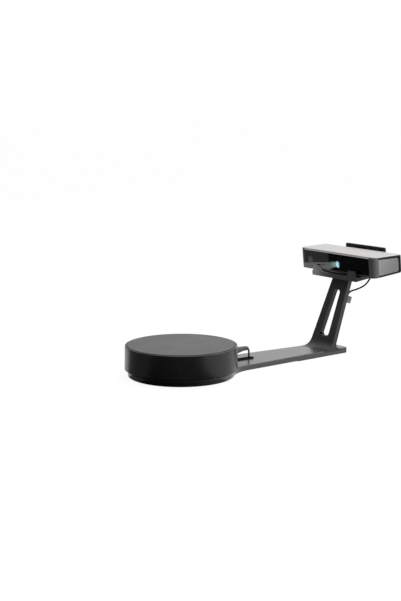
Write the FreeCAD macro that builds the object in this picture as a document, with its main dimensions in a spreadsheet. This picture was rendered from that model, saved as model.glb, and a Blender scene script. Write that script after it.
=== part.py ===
import FreeCAD, Part
import math
import os
import re
import Sketcher
from FreeCAD import Placement, Rotation, Vector

# A desk-top 3d scanner: a scanning head on a leaning upright, a tapering arm, and a turntable on the
# arm's round end.  Millimetres.  The origin is on the desk, on the turntable's axis; +X runs along the
# arm to the head, +Z is up.  Pieces of the head and its cradle are drawn in the head's own frame: x is
# the depth behind its front face, y the width and z the height above its underside.

os.makedirs("parts", exist_ok=True)
doc = FreeCAD.newDocument("desktop_scanner")
sheet = doc.addObject("Spreadsheet::Sheet", "sizes")
nodes = []

SIZES = (
    # Stand
    ("ring_radius", 98.3, "round end of the base"),
    ("base_top", 11.2, "top of the arm above the desk"),
    ("foot_height", 1.2, "rubber under the base"),
    ("base_wall", 2.8, "moulded wall of the base"),
    ("base_skin", 3.0, "top skin of the base"),
    ("base_edge", 1.2, "rounding of the base's top edge"),
    ("blend_radius", 80.0, "concave blend between round end and arm"),
    ("arm_root_x", 120.0, "station where the arm's straight edges start"),
    ("arm_root_width", 90.4, "arm width at that station"),
    ("arm_end_x", 385.0, "far end of the arm"),
    ("arm_end_width", 61.5, "arm width at the far end"),
    ("arm_corner", 4.0, "corner radius of the arm's end"),
    ("rib_thickness", 2.2, "ribs under the base"),
    ("hub_ring_radius", 24.0, "inner stiffening ring under the base"),
    ("spoke_count", 8, "spokes under the round end"),
    ("rib_pitch", 32.0, "spacing of the arm's cross ribs"),
    ("channel_width", 13.0, "cable channel under the arm"),
    ("slot_start_x", 116.0, "cable slot in the arm's top, turntable end"),
    ("slot_end_x", 163.9, "cable slot, free end"),
    ("slot_width", 10.0, "cable slot width"),
    ("cover_start_x", 104.0, "channel cover, turntable end"),
    ("cover_end_x", 247.0, "channel cover, free end"),
    ("cover_width", 38.0, "channel cover width"),
    ("cover_thickness", 1.6, "channel cover thickness"),
    ("cover_screw_inset", 8.0, "cover screws from the cover's ends"),
    ("cover_screw_side", 6.0, "cover screws from the cover's sides"),
    ("cover_screw_radius", 1.5, "cover screw thread"),
    ("cover_screw_head", 2.8, "radius of the sunk head of a cover screw"),
    ("cover_screw_grip", 3.0, "cover screw length in the base"),
    ("pad_start_x", 250.6, "start of the rubber pad under the arm"),
    ("pad_inset", 0.5, "rubber pad inside the arm's edge"),
    ("ring_foot_outer", 96.5, "outer radius of the ring foot"),
    ("ring_foot_inner", 84.0, "inner radius of the ring foot"),
    ("piece_gap", 0.1, "gap round a piece let into another"),

    # Upright
    ("upright_front_x", 335.2, "front face where it would meet the desk"),
    ("upright_lean", 21.16, "lean away from the turntable, degrees"),
    ("upright_thickness", 9.75, "thickness along the arm"),
    ("upright_foot_width", 68.4, "width where it would meet the desk"),
    ("upright_taper", 0.141, "loss of width for each unit of height"),
    ("foot_flange_front", 319.0, "front end of the foot flange"),
    ("foot_flange_rear", 366.0, "rear end of the foot flange"),
    ("foot_flange_thickness", 4.0, "foot flange let into the arm"),
    ("front_blend", 24.0, "radius between the upright's front and its foot"),
    ("rear_blend", 8.5, "radius between the upright's rear and its foot"),
    ("top_flange_depth", 59.0, "rear end of the top flange, in the head's frame"),
    ("top_flange_thickness", 3.0, "top flange thickness"),
    ("top_flange_width", 38.0, "top flange width"),
    ("top_flange_corner", 6.0, "corner radius of the top flange"),
    ("window_low", 33.6, "lower end of the upright's long slot"),
    ("window_high", 125.0, "upper end of the upright's long slot"),
    ("window_low_width", 25.0, "slot width at its lower end"),
    ("window_high_width", 17.0, "slot width at its upper end"),
    ("window_corner", 7.5, "corner radius of the slot"),
    ("eyelet_radius", 2.9, "small eyelet beside the slot's lower end"),
    ("eyelet_offset", 12.6, "eyelet from the centre line"),
    ("eyelet_height", 36.5, "eyelet above the desk"),
    ("eyelet_depth", 5.5, "eyelet depth"),
    ("foot_screw_front", 326.5, "front foot screws along the arm"),
    ("foot_screw_rear", 360.0, "rear foot screws along the arm"),
    ("foot_screw_spread", 19.0, "foot screws from the centre line"),
    ("foot_screw_radius", 2.0, "foot screw thread"),
    ("foot_screw_grip", 3.0, "foot screw length in the flange"),
    ("foot_screw_web", 2.5, "base under the foot flange that a screw clamps"),

    # Cable guide on the upright
    ("guide_height", 13.5, "length of the guide along the upright"),
    ("guide_reach", 11.3, "guide stands off the upright"),
    ("guide_width", 13.0, "guide width"),
    ("guide_middle", 108.6, "height of the guide above the desk"),
    ("guide_bore", 2.9, "radius of the guide's cable hole"),
    ("guide_mouth", 2.4, "width of the guide's open slit"),
    ("cable_standoff", 4.6, "cable axis behind the upright's rear face"),
    ("cable_side", 18.2, "cable from the centre line beside the upright"),
    ("guide_inset", 0.3, "guide inside the upright's side"),
    ("guide_edge", 1.5, "rounding of the guide's outer corner"),
    ("cable_hole_x", 371.8, "cable hole behind the upright, along the arm"),
    ("cable_hole_y", -5.0, "cable hole from the centre line"),
    ("cable_hole_radius", 4.0, "cable hole"),

    # Head
    ("head_x", 380.0, "front lower edge of the head along the arm"),
    ("head_z", 158.5, "front lower edge of the head above the desk"),
    ("head_tilt", 5.93, "head looks down by this, degrees"),
    ("head_width", 218.0, "head width"),
    ("head_depth", 73.8, "head depth"),
    ("head_height", 42.4, "head height at its front"),
    ("head_rear_height", 37.2, "head height at its rear"),
    ("head_corner", 12.0, "front corners of the head in plan"),
    ("head_rear_corner", 4.5, "rear corners of the head, seen from its side"),
    ("head_edge", 1.3, "rounding of the head's other edges"),
    ("bezel_depth", 12.4, "front frame depth"),
    ("cover_edge", 1.5, "top cover thickness"),
    ("cover_lip_height", 3.9, "front lip of the top cover"),
    ("cover_lip_thickness", 2.2, "front lip thickness"),
    ("shell_wall", 2.8, "head casing wall"),
    ("shell_floor", 2.5, "head casing floor"),
    ("panel_thickness", 1.4, "side panel thickness"),
    ("panel_border", 2.4, "casing edge left round a side panel"),
    ("panel_corner", 3.6, "rear corners of a side panel"),
    ("glass_inset", 14.0, "window from the head's sides"),
    ("glass_low", 5.0, "lower edge of the front window"),
    ("glass_thickness", 2.0, "front window thickness"),
    ("glass_corner", 2.5, "corner radius of the front window"),
    ("glass_ledge", 3.5, "ledge behind the window"),
    ("joint_gap", 0.15, "gap between casing pieces"),

    # Inside the head
    ("bench_front", 16.0, "front of the optical bench"),
    ("bench_thickness", 4.0, "optical bench thickness"),
    ("bench_inset", 14.0, "optical bench from the head's sides"),
    ("bench_high", 33.0, "top of the optical bench"),
    ("bench_foot", 12.0, "feet of the optical bench"),
    ("camera_inset", 31.0, "camera axes from the head's sides"),
    ("camera_height", 19.8, "camera axis above the underside"),
    ("camera_barrel_radius", 9.0, "camera lens barrel"),
    ("camera_body_width", 27.0, "camera body width and height"),
    ("camera_body_depth", 22.0, "camera body depth"),
    ("projector_height", 17.5, "projector axis above the underside"),
    ("projector_barrel_radius", 8.8, "projector lens barrel"),
    ("barrel_front", 4.6, "front of the barrels"),
    ("lens_bulge", 1.8, "height of a lens's curved front"),
    ("lens_edge", 1.2, "thickness of a lens's rim"),
    ("barrel_wall", 1.6, "rim round each lens"),
    ("engine_width", 44.0, "light engine width"),
    ("engine_rear", 48.0, "rear of the light engine"),
    ("engine_low", 9.6, "underside of the light engine"),
    ("engine_high", 33.5, "top of the light engine"),
    ("sink_width", 28.0, "heat sink width"),
    ("fin_thickness", 1.2, "heat sink fin"),
    ("fin_count", 7, "heat sink fins"),
    ("fan_size", 30.0, "fan frame width and height"),
    ("fan_depth", 8.0, "fan frame depth"),
    ("fan_inset", 33.0, "fan axis from the head's side"),
    ("fan_height", 18.6, "fan axis above the underside"),
    ("fan_blades", 7, "fan blades"),
    ("fan_wall", 1.5, "fan frame round its bore"),
    ("fan_hub_radius", 5.0, "fan hub"),
    ("fan_pin_radius", 1.2, "fan axle"),
    ("fan_spider", 1.2, "thickness of the arms that hold the fan's axle"),
    ("fan_gap", 0.4, "clearance at the ends of the fan's rotor"),
    ("fan_tip_gap", 1.8, "clearance of the blades' roots to the bore"),
    ("fan_blade_thickness", 0.8, "fan blade thickness"),
    ("fan_blade_width", 6.0, "fan blade width"),
    ("fan_blade_pitch", 40.0, "pitch of the fan blades, degrees"),
    ("fan_blade_place", 0.58, "share of the fan's depth at which a blade is set"),
    ("board_front", 51.0, "front edge of the main board"),
    ("board_low", 6.4, "underside of the main board"),
    ("board_thickness", 1.6, "circuit board thickness"),
    ("board_right_inset", 16.0, "main board from the head's right side"),
    ("board_left_inset", 48.0, "main board from the head's left side"),
    ("chip_inset", 4.0, "chips from the board's front edge"),
    ("chip_width", 10.0, "chip width"),
    ("chip_height", 1.5, "chip height"),
    ("power_socket_y", -27.0, "power socket from the centre line"),
    ("usb_socket_y", -7.0, "usb socket from the centre line"),
    ("link_socket_y", 14.0, "turntable socket from the centre line"),
    ("socket_width", 12.0, "sockets on the main board, width"),
    ("socket_height", 11.0, "sockets on the main board, height"),
    ("socket_depth", 14.0, "sockets on the main board, depth"),
    ("socket_inset", 0.8, "sockets set back from the outside"),
    ("nose_width", 9.0, "plug nose width"),
    ("nose_height", 6.0, "plug nose height"),
    ("barrel_jack_radius", 3.0, "opening of the power socket"),
    ("barrel_pin_radius", 0.9, "pin of the power socket"),
    ("button_inset", 39.0, "power button from the head's right side"),
    ("button_height", 21.0, "power button above the underside"),
    ("button_radius", 4.5, "power button"),
    ("button_travel", 1.2, "power button travel"),
    ("button_proud", 1.8, "power button stands out from the rear wall"),
    ("button_lip", 1.0, "collar that keeps the button in"),
    ("button_lip_gap", 0.2, "play of the collar behind the wall"),
    ("switch_size", 6.0, "switch behind the power button"),
    ("switch_setback", 4.9, "switch from the rear wall"),
    ("light_height", 11.0, "status light above the underside"),
    ("light_radius", 1.5, "status light"),
    ("light_length", 7.0, "length of the status light's pipe"),
    ("vent_width", 1.8, "ventilation slot width"),
    ("vent_pitch", 4.0, "ventilation slot pitch"),
    ("vent_count", 8, "ventilation slots on the fan's side"),
    ("vent_offset", 14.0, "first ventilation slot from the fan's axis"),
    ("intake_inset", 31.0, "first ventilation slot on the other side, from the head's side"),
    ("intake_count", 4, "ventilation slots on the other side"),
    ("vent_low", 8.0, "lower end of the ventilation slots"),
    ("vent_high", 29.5, "upper end of the ventilation slots"),
    ("fixing_depth", 37.0, "clamping screw behind the head's front"),
    ("fixing_radius", 3.0, "clamping screw thread"),
    ("screw_clearance", 0.4, "clearance hole round a clamping screw"),
    ("nut_grip", 8.0, "clamping screw above the head's underside"),
    ("running_gap", 0.05, "radial clearance of a shaft in its hole"),
    ("nut_radius", 7.0, "mounting nut in the head, across corners"),
    ("nut_height", 6.0, "mounting nut height"),
    ("head_screw_radius", 1.5, "head casing screws"),
    ("head_post_radius", 3.6, "posts for the casing screws"),
    ("head_post_inset", 8.5, "posts from the casing's outside"),
    ("head_post_height", 20.0, "height of the casing's lower posts"),
    ("head_screw_grip", 8.0, "casing screw length in the top cover"),

    # Cradle
    ("cradle_front", 8.1, "cradle reaches this far in front of the head"),
    ("cradle_lip", 5.0, "thickness of the cradle's lip and hooks"),
    ("cradle_low", 9.5, "cradle underside below the head"),
    ("cradle_half_width", 65.0, "half width of the cradle's lip"),
    ("cradle_seat", 2.5, "pad thickness under the head"),
    ("lip_top", 0.3, "lip stays this far below the head's underside"),
    ("hook_height", 10.8, "hooks above the head's underside"),
    ("hook_centre", 52.0, "hooks from the centre line"),
    ("hook_width", 20.0, "hook width"),
    ("hook_blend", 8.5, "concave blend from hook to lip"),
    ("hook_corner", 2.0, "smaller corners of the hooks"),
    ("back_gap", 7.0, "head's rear to the back plate"),
    ("back_thickness", 3.5, "back plate thickness"),
    ("back_half_width", 57.0, "half width of the back plate"),
    ("back_high", 42.5, "top of the back plate above the head's underside"),
    ("back_corner", 3.0, "corner radius of the back plate"),
    ("back_fillet", 1.5, "fillet between back plate and floor"),
    ("port_half_width", 38.0, "half width of the back plate's opening"),
    ("port_low", 4.5, "lower edge of the back plate's opening"),
    ("port_high", 25.0, "upper edge of the back plate's opening"),
    ("cradle_screw_depth", 26.5, "cradle screws behind the head's front"),
    ("cradle_screw_spread", 13.0, "cradle screws from the centre line"),
    ("cradle_screw_radius", 1.5, "cradle screw thread"),
    ("cradle_screw_grip", 5.0, "cradle screw length in the cradle"),
    ("pad_from_centre", 30.0, "soft pads under the head from the centre line"),
    ("pad_width", 14.0, "soft pad width"),
    ("pad_margin", 4.0, "soft pads from the head's front and rear"),
    ("hook_play", 0.1, "play between hook pads and head"),
    ("knob_radius", 14.0, "thumb knob"),
    ("knob_height", 7.0, "thumb knob height"),
    ("knob_bevel", 0.9, "bevel of the thumb knob"),
    ("knob_flutes", 12, "grip flutes round the knob"),
    ("knob_flute_radius", 1.6, "grip flute"),
    ("washer_thickness", 1.0, "collar between knob and flange"),
    ("screw_wide", 1.8, "screw head radius as a share of the thread's"),
    ("screw_flat", 1.1, "screw head height as a share of the thread's radius"),
    ("screw_slot", 0.4, "width of a cross recess as a share of the thread's radius"),
    ("screw_slot_depth", 0.6, "depth of a cross recess as a share of the thread's radius"),

    # Turntable
    ("drum_radius", 104.4, "drum wall at its lower edge"),
    ("drum_draft", 0.8, "drum wall's draft from its lower edge to its top"),
    ("drum_wall", 3.2, "drum wall at its lower edge"),
    ("drum_low", 13.7, "lower edge of the drum"),
    ("drum_high", 57.2, "top of the drum's rim"),
    ("drum_edge", 1.3, "rounding of the drum's rim"),
    ("floor_low", 13.2, "underside of the drum's floor"),
    ("floor_thickness", 2.5, "floor of the drum"),
    ("table_foot_radius", 7.0, "turntable feet"),
    ("table_foot_circle", 74.0, "turntable feet from the axis"),
    ("table_foot_recess", 0.8, "locating recess for a foot"),
    ("platter_top", 58.0, "top of the turning mat"),
    ("mat_thickness", 1.0, "turning mat"),
    ("platter_gap", 1.0, "gap between the turning disc and the drum wall"),
    ("platter_thickness", 3.0, "turning disc thickness"),
    ("platter_skirt", 5.0, "rim below the turning disc"),
    ("mat_inset", 0.5, "mat inside the disc's edge"),
    ("spindle_radius", 10.0, "spindle in the bearing"),
    ("bearing_outer_radius", 21.0, "bearing outside"),
    ("bearing_width", 12.0, "bearing width"),
    ("bearing_low", 20.7, "underside of the bearing"),
    ("race_wall", 3.0, "bearing race wall"),
    ("cage_thickness", 1.6, "bearing cage thickness"),
    ("cage_height", 8.4, "bearing cage height"),
    ("ball_radius", 3.2, "bearing ball"),
    ("ball_count", 9, "bearing balls"),
    ("ball_gap", 0.12, "ball clearance in its grooves"),
    ("seat_wall", 4.5, "wall of the bearing seat"),
    ("gusset_reach", 8.0, "gussets round the bearing seat"),
    ("hub_radius", 16.0, "hub above the bearing"),
    ("hub_flange_radius", 28.0, "hub flange under the disc"),
    ("hub_flange_thickness", 4.0, "hub flange thickness"),
    ("hub_step", 1.7, "hub's shoulder above the bearing"),
    ("hub_screw_circle", 22.0, "hub screws from the axis"),
    ("hub_screw_radius", 1.5, "hub screw thread"),
    ("hub_screw_grip", 3.0, "hub screw length in the flange"),
    ("clip_gap", 0.2, "retaining clip below the bearing"),
    ("clip_thickness", 1.2, "retaining clip thickness"),
    ("clip_depth", 0.8, "depth of the clip's groove"),
    ("platter_rib", 2.0, "height of the ribs under the turning disc"),
    ("gear_module", 1.5, "tooth size"),
    ("gear_teeth", 60, "teeth of the large gear"),
    ("pinion_teeth", 14, "teeth of the pinion"),
    ("profile_shift", 0.3, "profile shift of the pinion"),
    ("pressure_angle", 20.0, "pressure angle, degrees"),
    ("tooth_backlash", 0.12, "play of each tooth"),
    ("root_depth", 1.25, "root depth in modules"),
    ("gear_low", 44.0, "underside of the large gear"),
    ("gear_width", 6.0, "large gear width"),
    ("gear_hole_circle", 30.0, "lightening holes of the gear from its axis"),
    ("gear_hole_radius", 6.0, "lightening holes of the gear"),
    ("pinion_extra", 1.0, "pinion is wider than the gear by this"),
    ("pinion_boss_radius", 6.0, "boss of the pinion"),
    ("pinion_boss_low", 39.5, "underside of the pinion's boss"),
    ("motor_width", 35.2, "motor width"),
    ("motor_low", 16.5, "underside of the motor"),
    ("motor_high", 36.5, "top of the motor"),
    ("motor_shaft_radius", 2.5, "motor shaft"),
    ("motor_pilot_radius", 11.0, "motor pilot"),
    ("motor_pilot_height", 2.0, "motor pilot height"),
    ("motor_screw_spread", 13.0, "motor screws from its axis"),
    ("motor_screw_radius", 1.5, "motor screws"),
    ("motor_screw_grip", 3.0, "motor screw length in the motor"),
    ("motor_end", 2.0, "motor's end plate under its shaft"),
    ("bracket_gap", 1.0, "bracket beside the motor"),
    ("bracket_sheet", 2.0, "bracket sheet thickness"),
    ("bracket_overhang", 12.0, "bracket feet beyond the motor"),
    ("table_screw_circle", 93.0, "drum screws from the axis"),
    ("table_screw_radius", 1.5, "drum screws"),
    ("drum_post_radius", 4.5, "posts inside the drum"),
    ("drum_post_height", 16.0, "length of the drum posts"),
    ("link_port_height", 32.0, "turntable socket above the desk"),
    ("link_port_width", 14.0, "turntable socket width"),
    ("link_port_tall", 11.0, "turntable socket height"),
    ("link_port_depth", 14.0, "turntable socket depth"),
    ("board_x", 57.0, "driver board, inner edge"),
    ("board_half_width", 24.0, "driver board half width"),
    ("board_length", 36.0, "driver board length"),
    ("board_post_radius", 2.5, "posts under the driver board"),

    # Link cable
    ("cable_radius", 1.7, "link cable"),
    ("plug_length", 22.0, "turntable plug body"),
    ("plug_tall", 12.4, "turntable plug height"),
    ("plug_wide", 13.0, "turntable plug width"),
    ("plug_gap", 1.6, "plug stands off the drum wall"),
    ("boot_length", 20.0, "bend relief of the turntable plug"),
    ("boot_tall", 6.4, "bend relief at its end"),
    ("head_plug_length", 13.0, "head plug body"),
    ("head_plug_gap", 0.3, "head plug stands off the casing"),
    ("head_boot_length", 8.7, "bend relief of the head plug"),
    ("contact_length", 6.0, "plug nose inside a socket"),
    ("plug_edge", 1.5, "rounding of the plugs' long edges"),
    ("arc_share", 0.45, "share of a run that an arc of the cable takes"),
)

# The sheet holds every driving dimension, in millimetres or degrees, under its alias.
for row, (alias, number, meaning) in enumerate(SIZES, 1):
    sheet.set(f"A{row}", alias)
    sheet.set(f"B{row}", str(number))
    sheet.set(f"C{row}", meaning)
    sheet.setAlias(f"B{row}", alias)
doc.recompute()

# Sizes that follow the driving ones
FOLLOWING = (
    ("glass_half_width", "head_width / 2 - glass_inset", "half width of the front window"),
    ("bench_half_width", "head_width / 2 - bench_inset", "half width of the optical bench"),
    ("camera_spread", "head_width / 2 - camera_inset", "cameras from the centre line"),
    ("fan_centre", "head_width / 2 - fan_inset", "fan axis from the centre line"),
    ("board_right", "head_width / 2 - board_right_inset", "main board to the right of the centre line"),
    ("board_left", "head_width / 2 - board_left_inset", "main board to the left of the centre line"),
    ("button_y", "button_inset - head_width / 2", "power button from the centre line"),
    ("vent_start", "fan_centre - vent_offset", "first ventilation slot on the fan's side"),
    ("intake_start", "head_width / 2 - intake_inset", "first ventilation slot on the other side"),
    ("drum_top_radius", "drum_radius - drum_draft", "drum wall at its top"),
    ("drum_inner_radius", "drum_radius - drum_wall", "inside of the drum wall"),
    ("platter_radius", "drum_inner_radius - platter_gap", "turning disc"),
    ("cover_fall", "(head_height - head_rear_height) / head_depth", "slope of the top cover in the head"),
)
for row, (alias, formula, meaning) in enumerate(FOLLOWING, len(SIZES) + 1):
    sheet.set(f"A{row}", alias)
    sheet.set(f"B{row}", f"={formula}")
    sheet.set(f"C{row}", meaning)
    sheet.setAlias(f"B{row}", alias)
doc.recompute()

LONGEST_FIRST = sorted((alias for alias, *_ in SIZES + FOLLOWING), key=len, reverse=True)
WORDS = re.compile(r"\b(" + "|".join(LONGEST_FIRST) + r")\b")


def expression(text):
    """Turn a formula in the sheet's words into a FreeCAD expression."""
    return WORDS.sub(r"sizes.\1", text)


def number(alias):
    """Read one dimension back from the sheet."""
    return float(sheet.get(alias))


def bind(item, **formulas):
    """Bind properties of an object to formulas in the sheet's words."""
    for name, text in formulas.items():
        item.setExpression(name, expression(text))


def node(item, label):
    """Name an object as one sub-part of the scanner."""
    item.Label = label
    nodes.append(item)
    return item


# Formulas that several pieces share
SIN_TILT = "sin(head_tilt * 1 deg)"
COS_TILT = "cos(head_tilt * 1 deg)"
TAN_LEAN = "tan(upright_lean * 1 deg)"
ARM_SLOPE = "((arm_root_width - arm_end_width) / 2 / (arm_end_x - arm_root_x))"


def arm_edge(station):
    """Half width of the arm at a station along it."""
    return f"(arm_root_width / 2 - {ARM_SLOPE} * ({station} - arm_root_x))"


def seat(item, x="0", y="0", z="0"):
    """Place a piece by formulas."""
    item.setExpression("Placement.Base.x", expression(x))
    item.setExpression("Placement.Base.y", expression(y))
    item.setExpression("Placement.Base.z", expression(z))
    return item


def turn(item, axis, angle):
    """Turn a piece about an axis through its own origin."""
    item.Placement = Placement(item.Placement.Base, Rotation(axis, 1.0))
    item.setExpression("Placement.Rotation.Angle", expression(f"({angle}) * 1 deg"))
    return item


def seat_in_head(item):
    """Put a piece that is drawn in the head's frame into the head."""
    turn(item, Vector(0, -1, 0), "head_tilt")
    return seat(item, "head_x", "0", "head_z")


# Sketches and features
def body(label):
    return node(doc.addObject("PartDesign::Body", label), label)


def sketch(item, role, level="0"):
    """A sketch on one of the body's own origin planes, moved along its normal."""
    drawing = item.newObject("Sketcher::SketchObject", item.Name + "_outline")
    drawing.AttachmentSupport = (origin_feature(item, role), [""])
    drawing.MapMode = "FlatFace"
    drawing.setExpression("AttachmentOffset.Base.z", expression(level))
    return drawing


def origin_feature(item, role):
    return next(part for part in item.Origin.OriginFeatures if part.Role == role)


def dimension(drawing, kind, geometry, point, formula, start=1.0):
    """One dimension of a sketch, from its origin, bound to a formula, with a value to start from."""
    where = (geometry, point) if point else (geometry,)
    index = drawing.addConstraint(Sketcher.Constraint(kind, *where, start))
    drawing.setExpression(f"Constraints[{index}]", expression(formula))


def polygon(drawing, corners):
    """A closed outline of straight edges through corners given by formulas."""
    first = drawing.GeometryCount
    count = len(corners)
    start = [Vector(10 * math.cos(2 * math.pi * i / count), 10 * math.sin(2 * math.pi * i / count), 0)
             for i in range(count)]
    for i in range(count):
        drawing.addGeometry(Part.LineSegment(start[i], start[(i + 1) % count]))
    for i in range(count):
        following = first + (i + 1) % count
        drawing.addConstraint(Sketcher.Constraint("Coincident", first + i, 2, following, 1))
    for i, (across, up) in enumerate(corners):
        dimension(drawing, "DistanceX", first + i, 1, across)
        dimension(drawing, "DistanceY", first + i, 1, up)


def rectangle(drawing, left, low, right, high):
    polygon(drawing, [(left, low), (right, low), (right, high), (left, high)])


def circle(drawing, across, up, radius):
    item = drawing.addGeometry(Part.Circle(Vector(1, 1, 0), Vector(0, 0, 1), 5))
    dimension(drawing, "DistanceX", item, 3, across)
    dimension(drawing, "DistanceY", item, 3, up)
    dimension(drawing, "Radius", item, 0, radius)


def pad(item, drawing, length, reverse=False, symmetric=False):
    feature = item.newObject("PartDesign::Pad", item.Name + "_pad")
    feature.Profile = drawing
    bind(feature, Length=length)
    feature.Reversed = reverse
    if symmetric:
        feature.SideType = "Symmetric"
    return feature


def pocket(item, drawing, length="", reverse=False, symmetric=False):
    """Cut a profile; an empty length cuts right through."""
    before = solid_volume(item)
    feature = item.newObject("PartDesign::Pocket", item.Name + "_pocket")
    feature.Profile = drawing
    feature.Reversed = reverse
    if symmetric:
        feature.SideType = "Symmetric"
    if length:
        bind(feature, Length=length)
    else:
        feature.Type = "ThroughAll"
    if solid_volume(item) > before - 1e-6:
        raise ValueError(f"{feature.Name} cuts nothing")
    return feature


def solid_volume(item):
    doc.recompute()
    return item.Shape.Volume


def revolve(item, drawing, axis="V_Axis"):
    feature = item.newObject("PartDesign::Revolution", item.Name + "_turned")
    feature.Profile = drawing
    feature.ReferenceAxis = (drawing, [axis])
    feature.Angle = 360
    return feature


def repeat_round(item, feature, count, axis="Z_Axis"):
    pattern = item.newObject("PartDesign::PolarPattern", item.Name + "_round")
    pattern.Originals = [feature]
    pattern.Axis = (origin_feature(item, axis), [""])
    pattern.Angle = 360
    bind(pattern, Occurrences=count)
    item.Tip = pattern
    return pattern


def repeat_along(item, feature, count, pitch, axis):
    """Copies of a feature, one pitch apart along one of the body's axes."""
    pattern = item.newObject("PartDesign::LinearPattern", item.Name + "_row")
    pattern.Originals = [feature]
    pattern.Direction = (origin_feature(item, axis), [""])
    bind(pattern, Occurrences=count, Length=f"({count} - 1) * {pitch}")
    item.Tip = pattern
    return pattern


def round_edges(item, radius, wanted):
    """Fillet the edges of a body's present shape that a test picks."""
    doc.recompute()
    base = item.Tip
    names = [f"Edge{i + 1}" for i, edge in enumerate(base.Shape.Edges) if wanted(edge)]
    if not names:
        raise ValueError(f"no edge to round on {item.Label}")
    feature = item.newObject("PartDesign::Fillet", item.Name + "_fillet")
    feature.Base = (base, names)
    bind(feature, Radius=radius)
    return feature


def along(edge, axis):
    """True for a straight edge that runs along an axis."""
    if not isinstance(edge.Curve, Part.Line):
        return False
    way = edge.tangentAt(edge.FirstParameter)
    return abs(abs(way.dot(axis)) - 1) < 1e-3


def level(edge, height):
    """True for an edge that lies at one height."""
    box = edge.BoundBox
    return abs(box.ZMin - height) < 0.01 and abs(box.ZMax - height) < 0.01


X_AXIS = Vector(1, 0, 0)
Y_AXIS = Vector(0, 1, 0)
Z_AXIS = Vector(0, 0, 1)


# Part primitives
def cylinder(radius, height, x="0", y="0", z="0", axis=None):
    item = doc.addObject("Part::Cylinder", "round_bar")
    bind(item, Radius=radius, Height=height)
    if axis is not None:
        item.Placement = Placement(Vector(), Rotation(Z_AXIS, axis))
    return seat(item, x, y, z)


def box(x, y, z, length, width, height):
    """A block from its lowest corner."""
    item = doc.addObject("Part::Box", "block")
    bind(item, Length=length, Width=width, Height=height)
    return seat(item, x, y, z)


def cut(base, tool):
    item = doc.addObject("Part::Cut", "cut")
    item.Base = base
    item.Tool = tool
    return item


def fuse(*pieces):
    item = doc.addObject("Part::MultiFuse", "joined")
    item.Shapes = list(pieces)
    item.Refine = True
    return item


def group(label, pieces):
    """Separate solids that share one node."""
    item = doc.addObject("Part::Compound", label)
    item.Links = pieces
    return node(item, label)


def screw(radius, length, x, y, z, head_below=True):
    """A pan-head screw with a cross recess: x, y, z is the seat under its head."""
    head = cylinder(f"{radius} * screw_wide", f"{radius} * screw_flat", x, y,
                    f"{z} - {radius} * screw_flat" if head_below else z)
    shank = cylinder(radius, length, x, y, z if head_below else f"{z} - ({length})")
    face = f"{z} {'-' if head_below else '+'} {radius} * screw_flat"
    deep = f"{radius} * screw_slot_depth"
    low = face if head_below else f"{face} - {deep}"
    narrow = f"{radius} * screw_slot"
    slots = fuse(box(f"{x} - {radius}", f"{y} - {narrow} / 2", low, f"{radius} * 2", narrow, deep),
                 box(f"{x} - {narrow} / 2", f"{y} - {radius}", low, narrow, f"{radius} * 2", deep))
    return cut(fuse(head, shank), slots)


# ---------------------------------------------------------------------------------------------------
# Stand


def mirrored(point):
    return Vector(point.x, -point.y, 0)


def bend(middle, radius, start, end):
    """An arc about a point, counter-clockwise from one point to another."""
    ring = Part.Circle(middle, Z_AXIS, radius)
    return Part.ArcOfCircle(ring, ring.parameter(start), ring.parameter(end))


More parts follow.
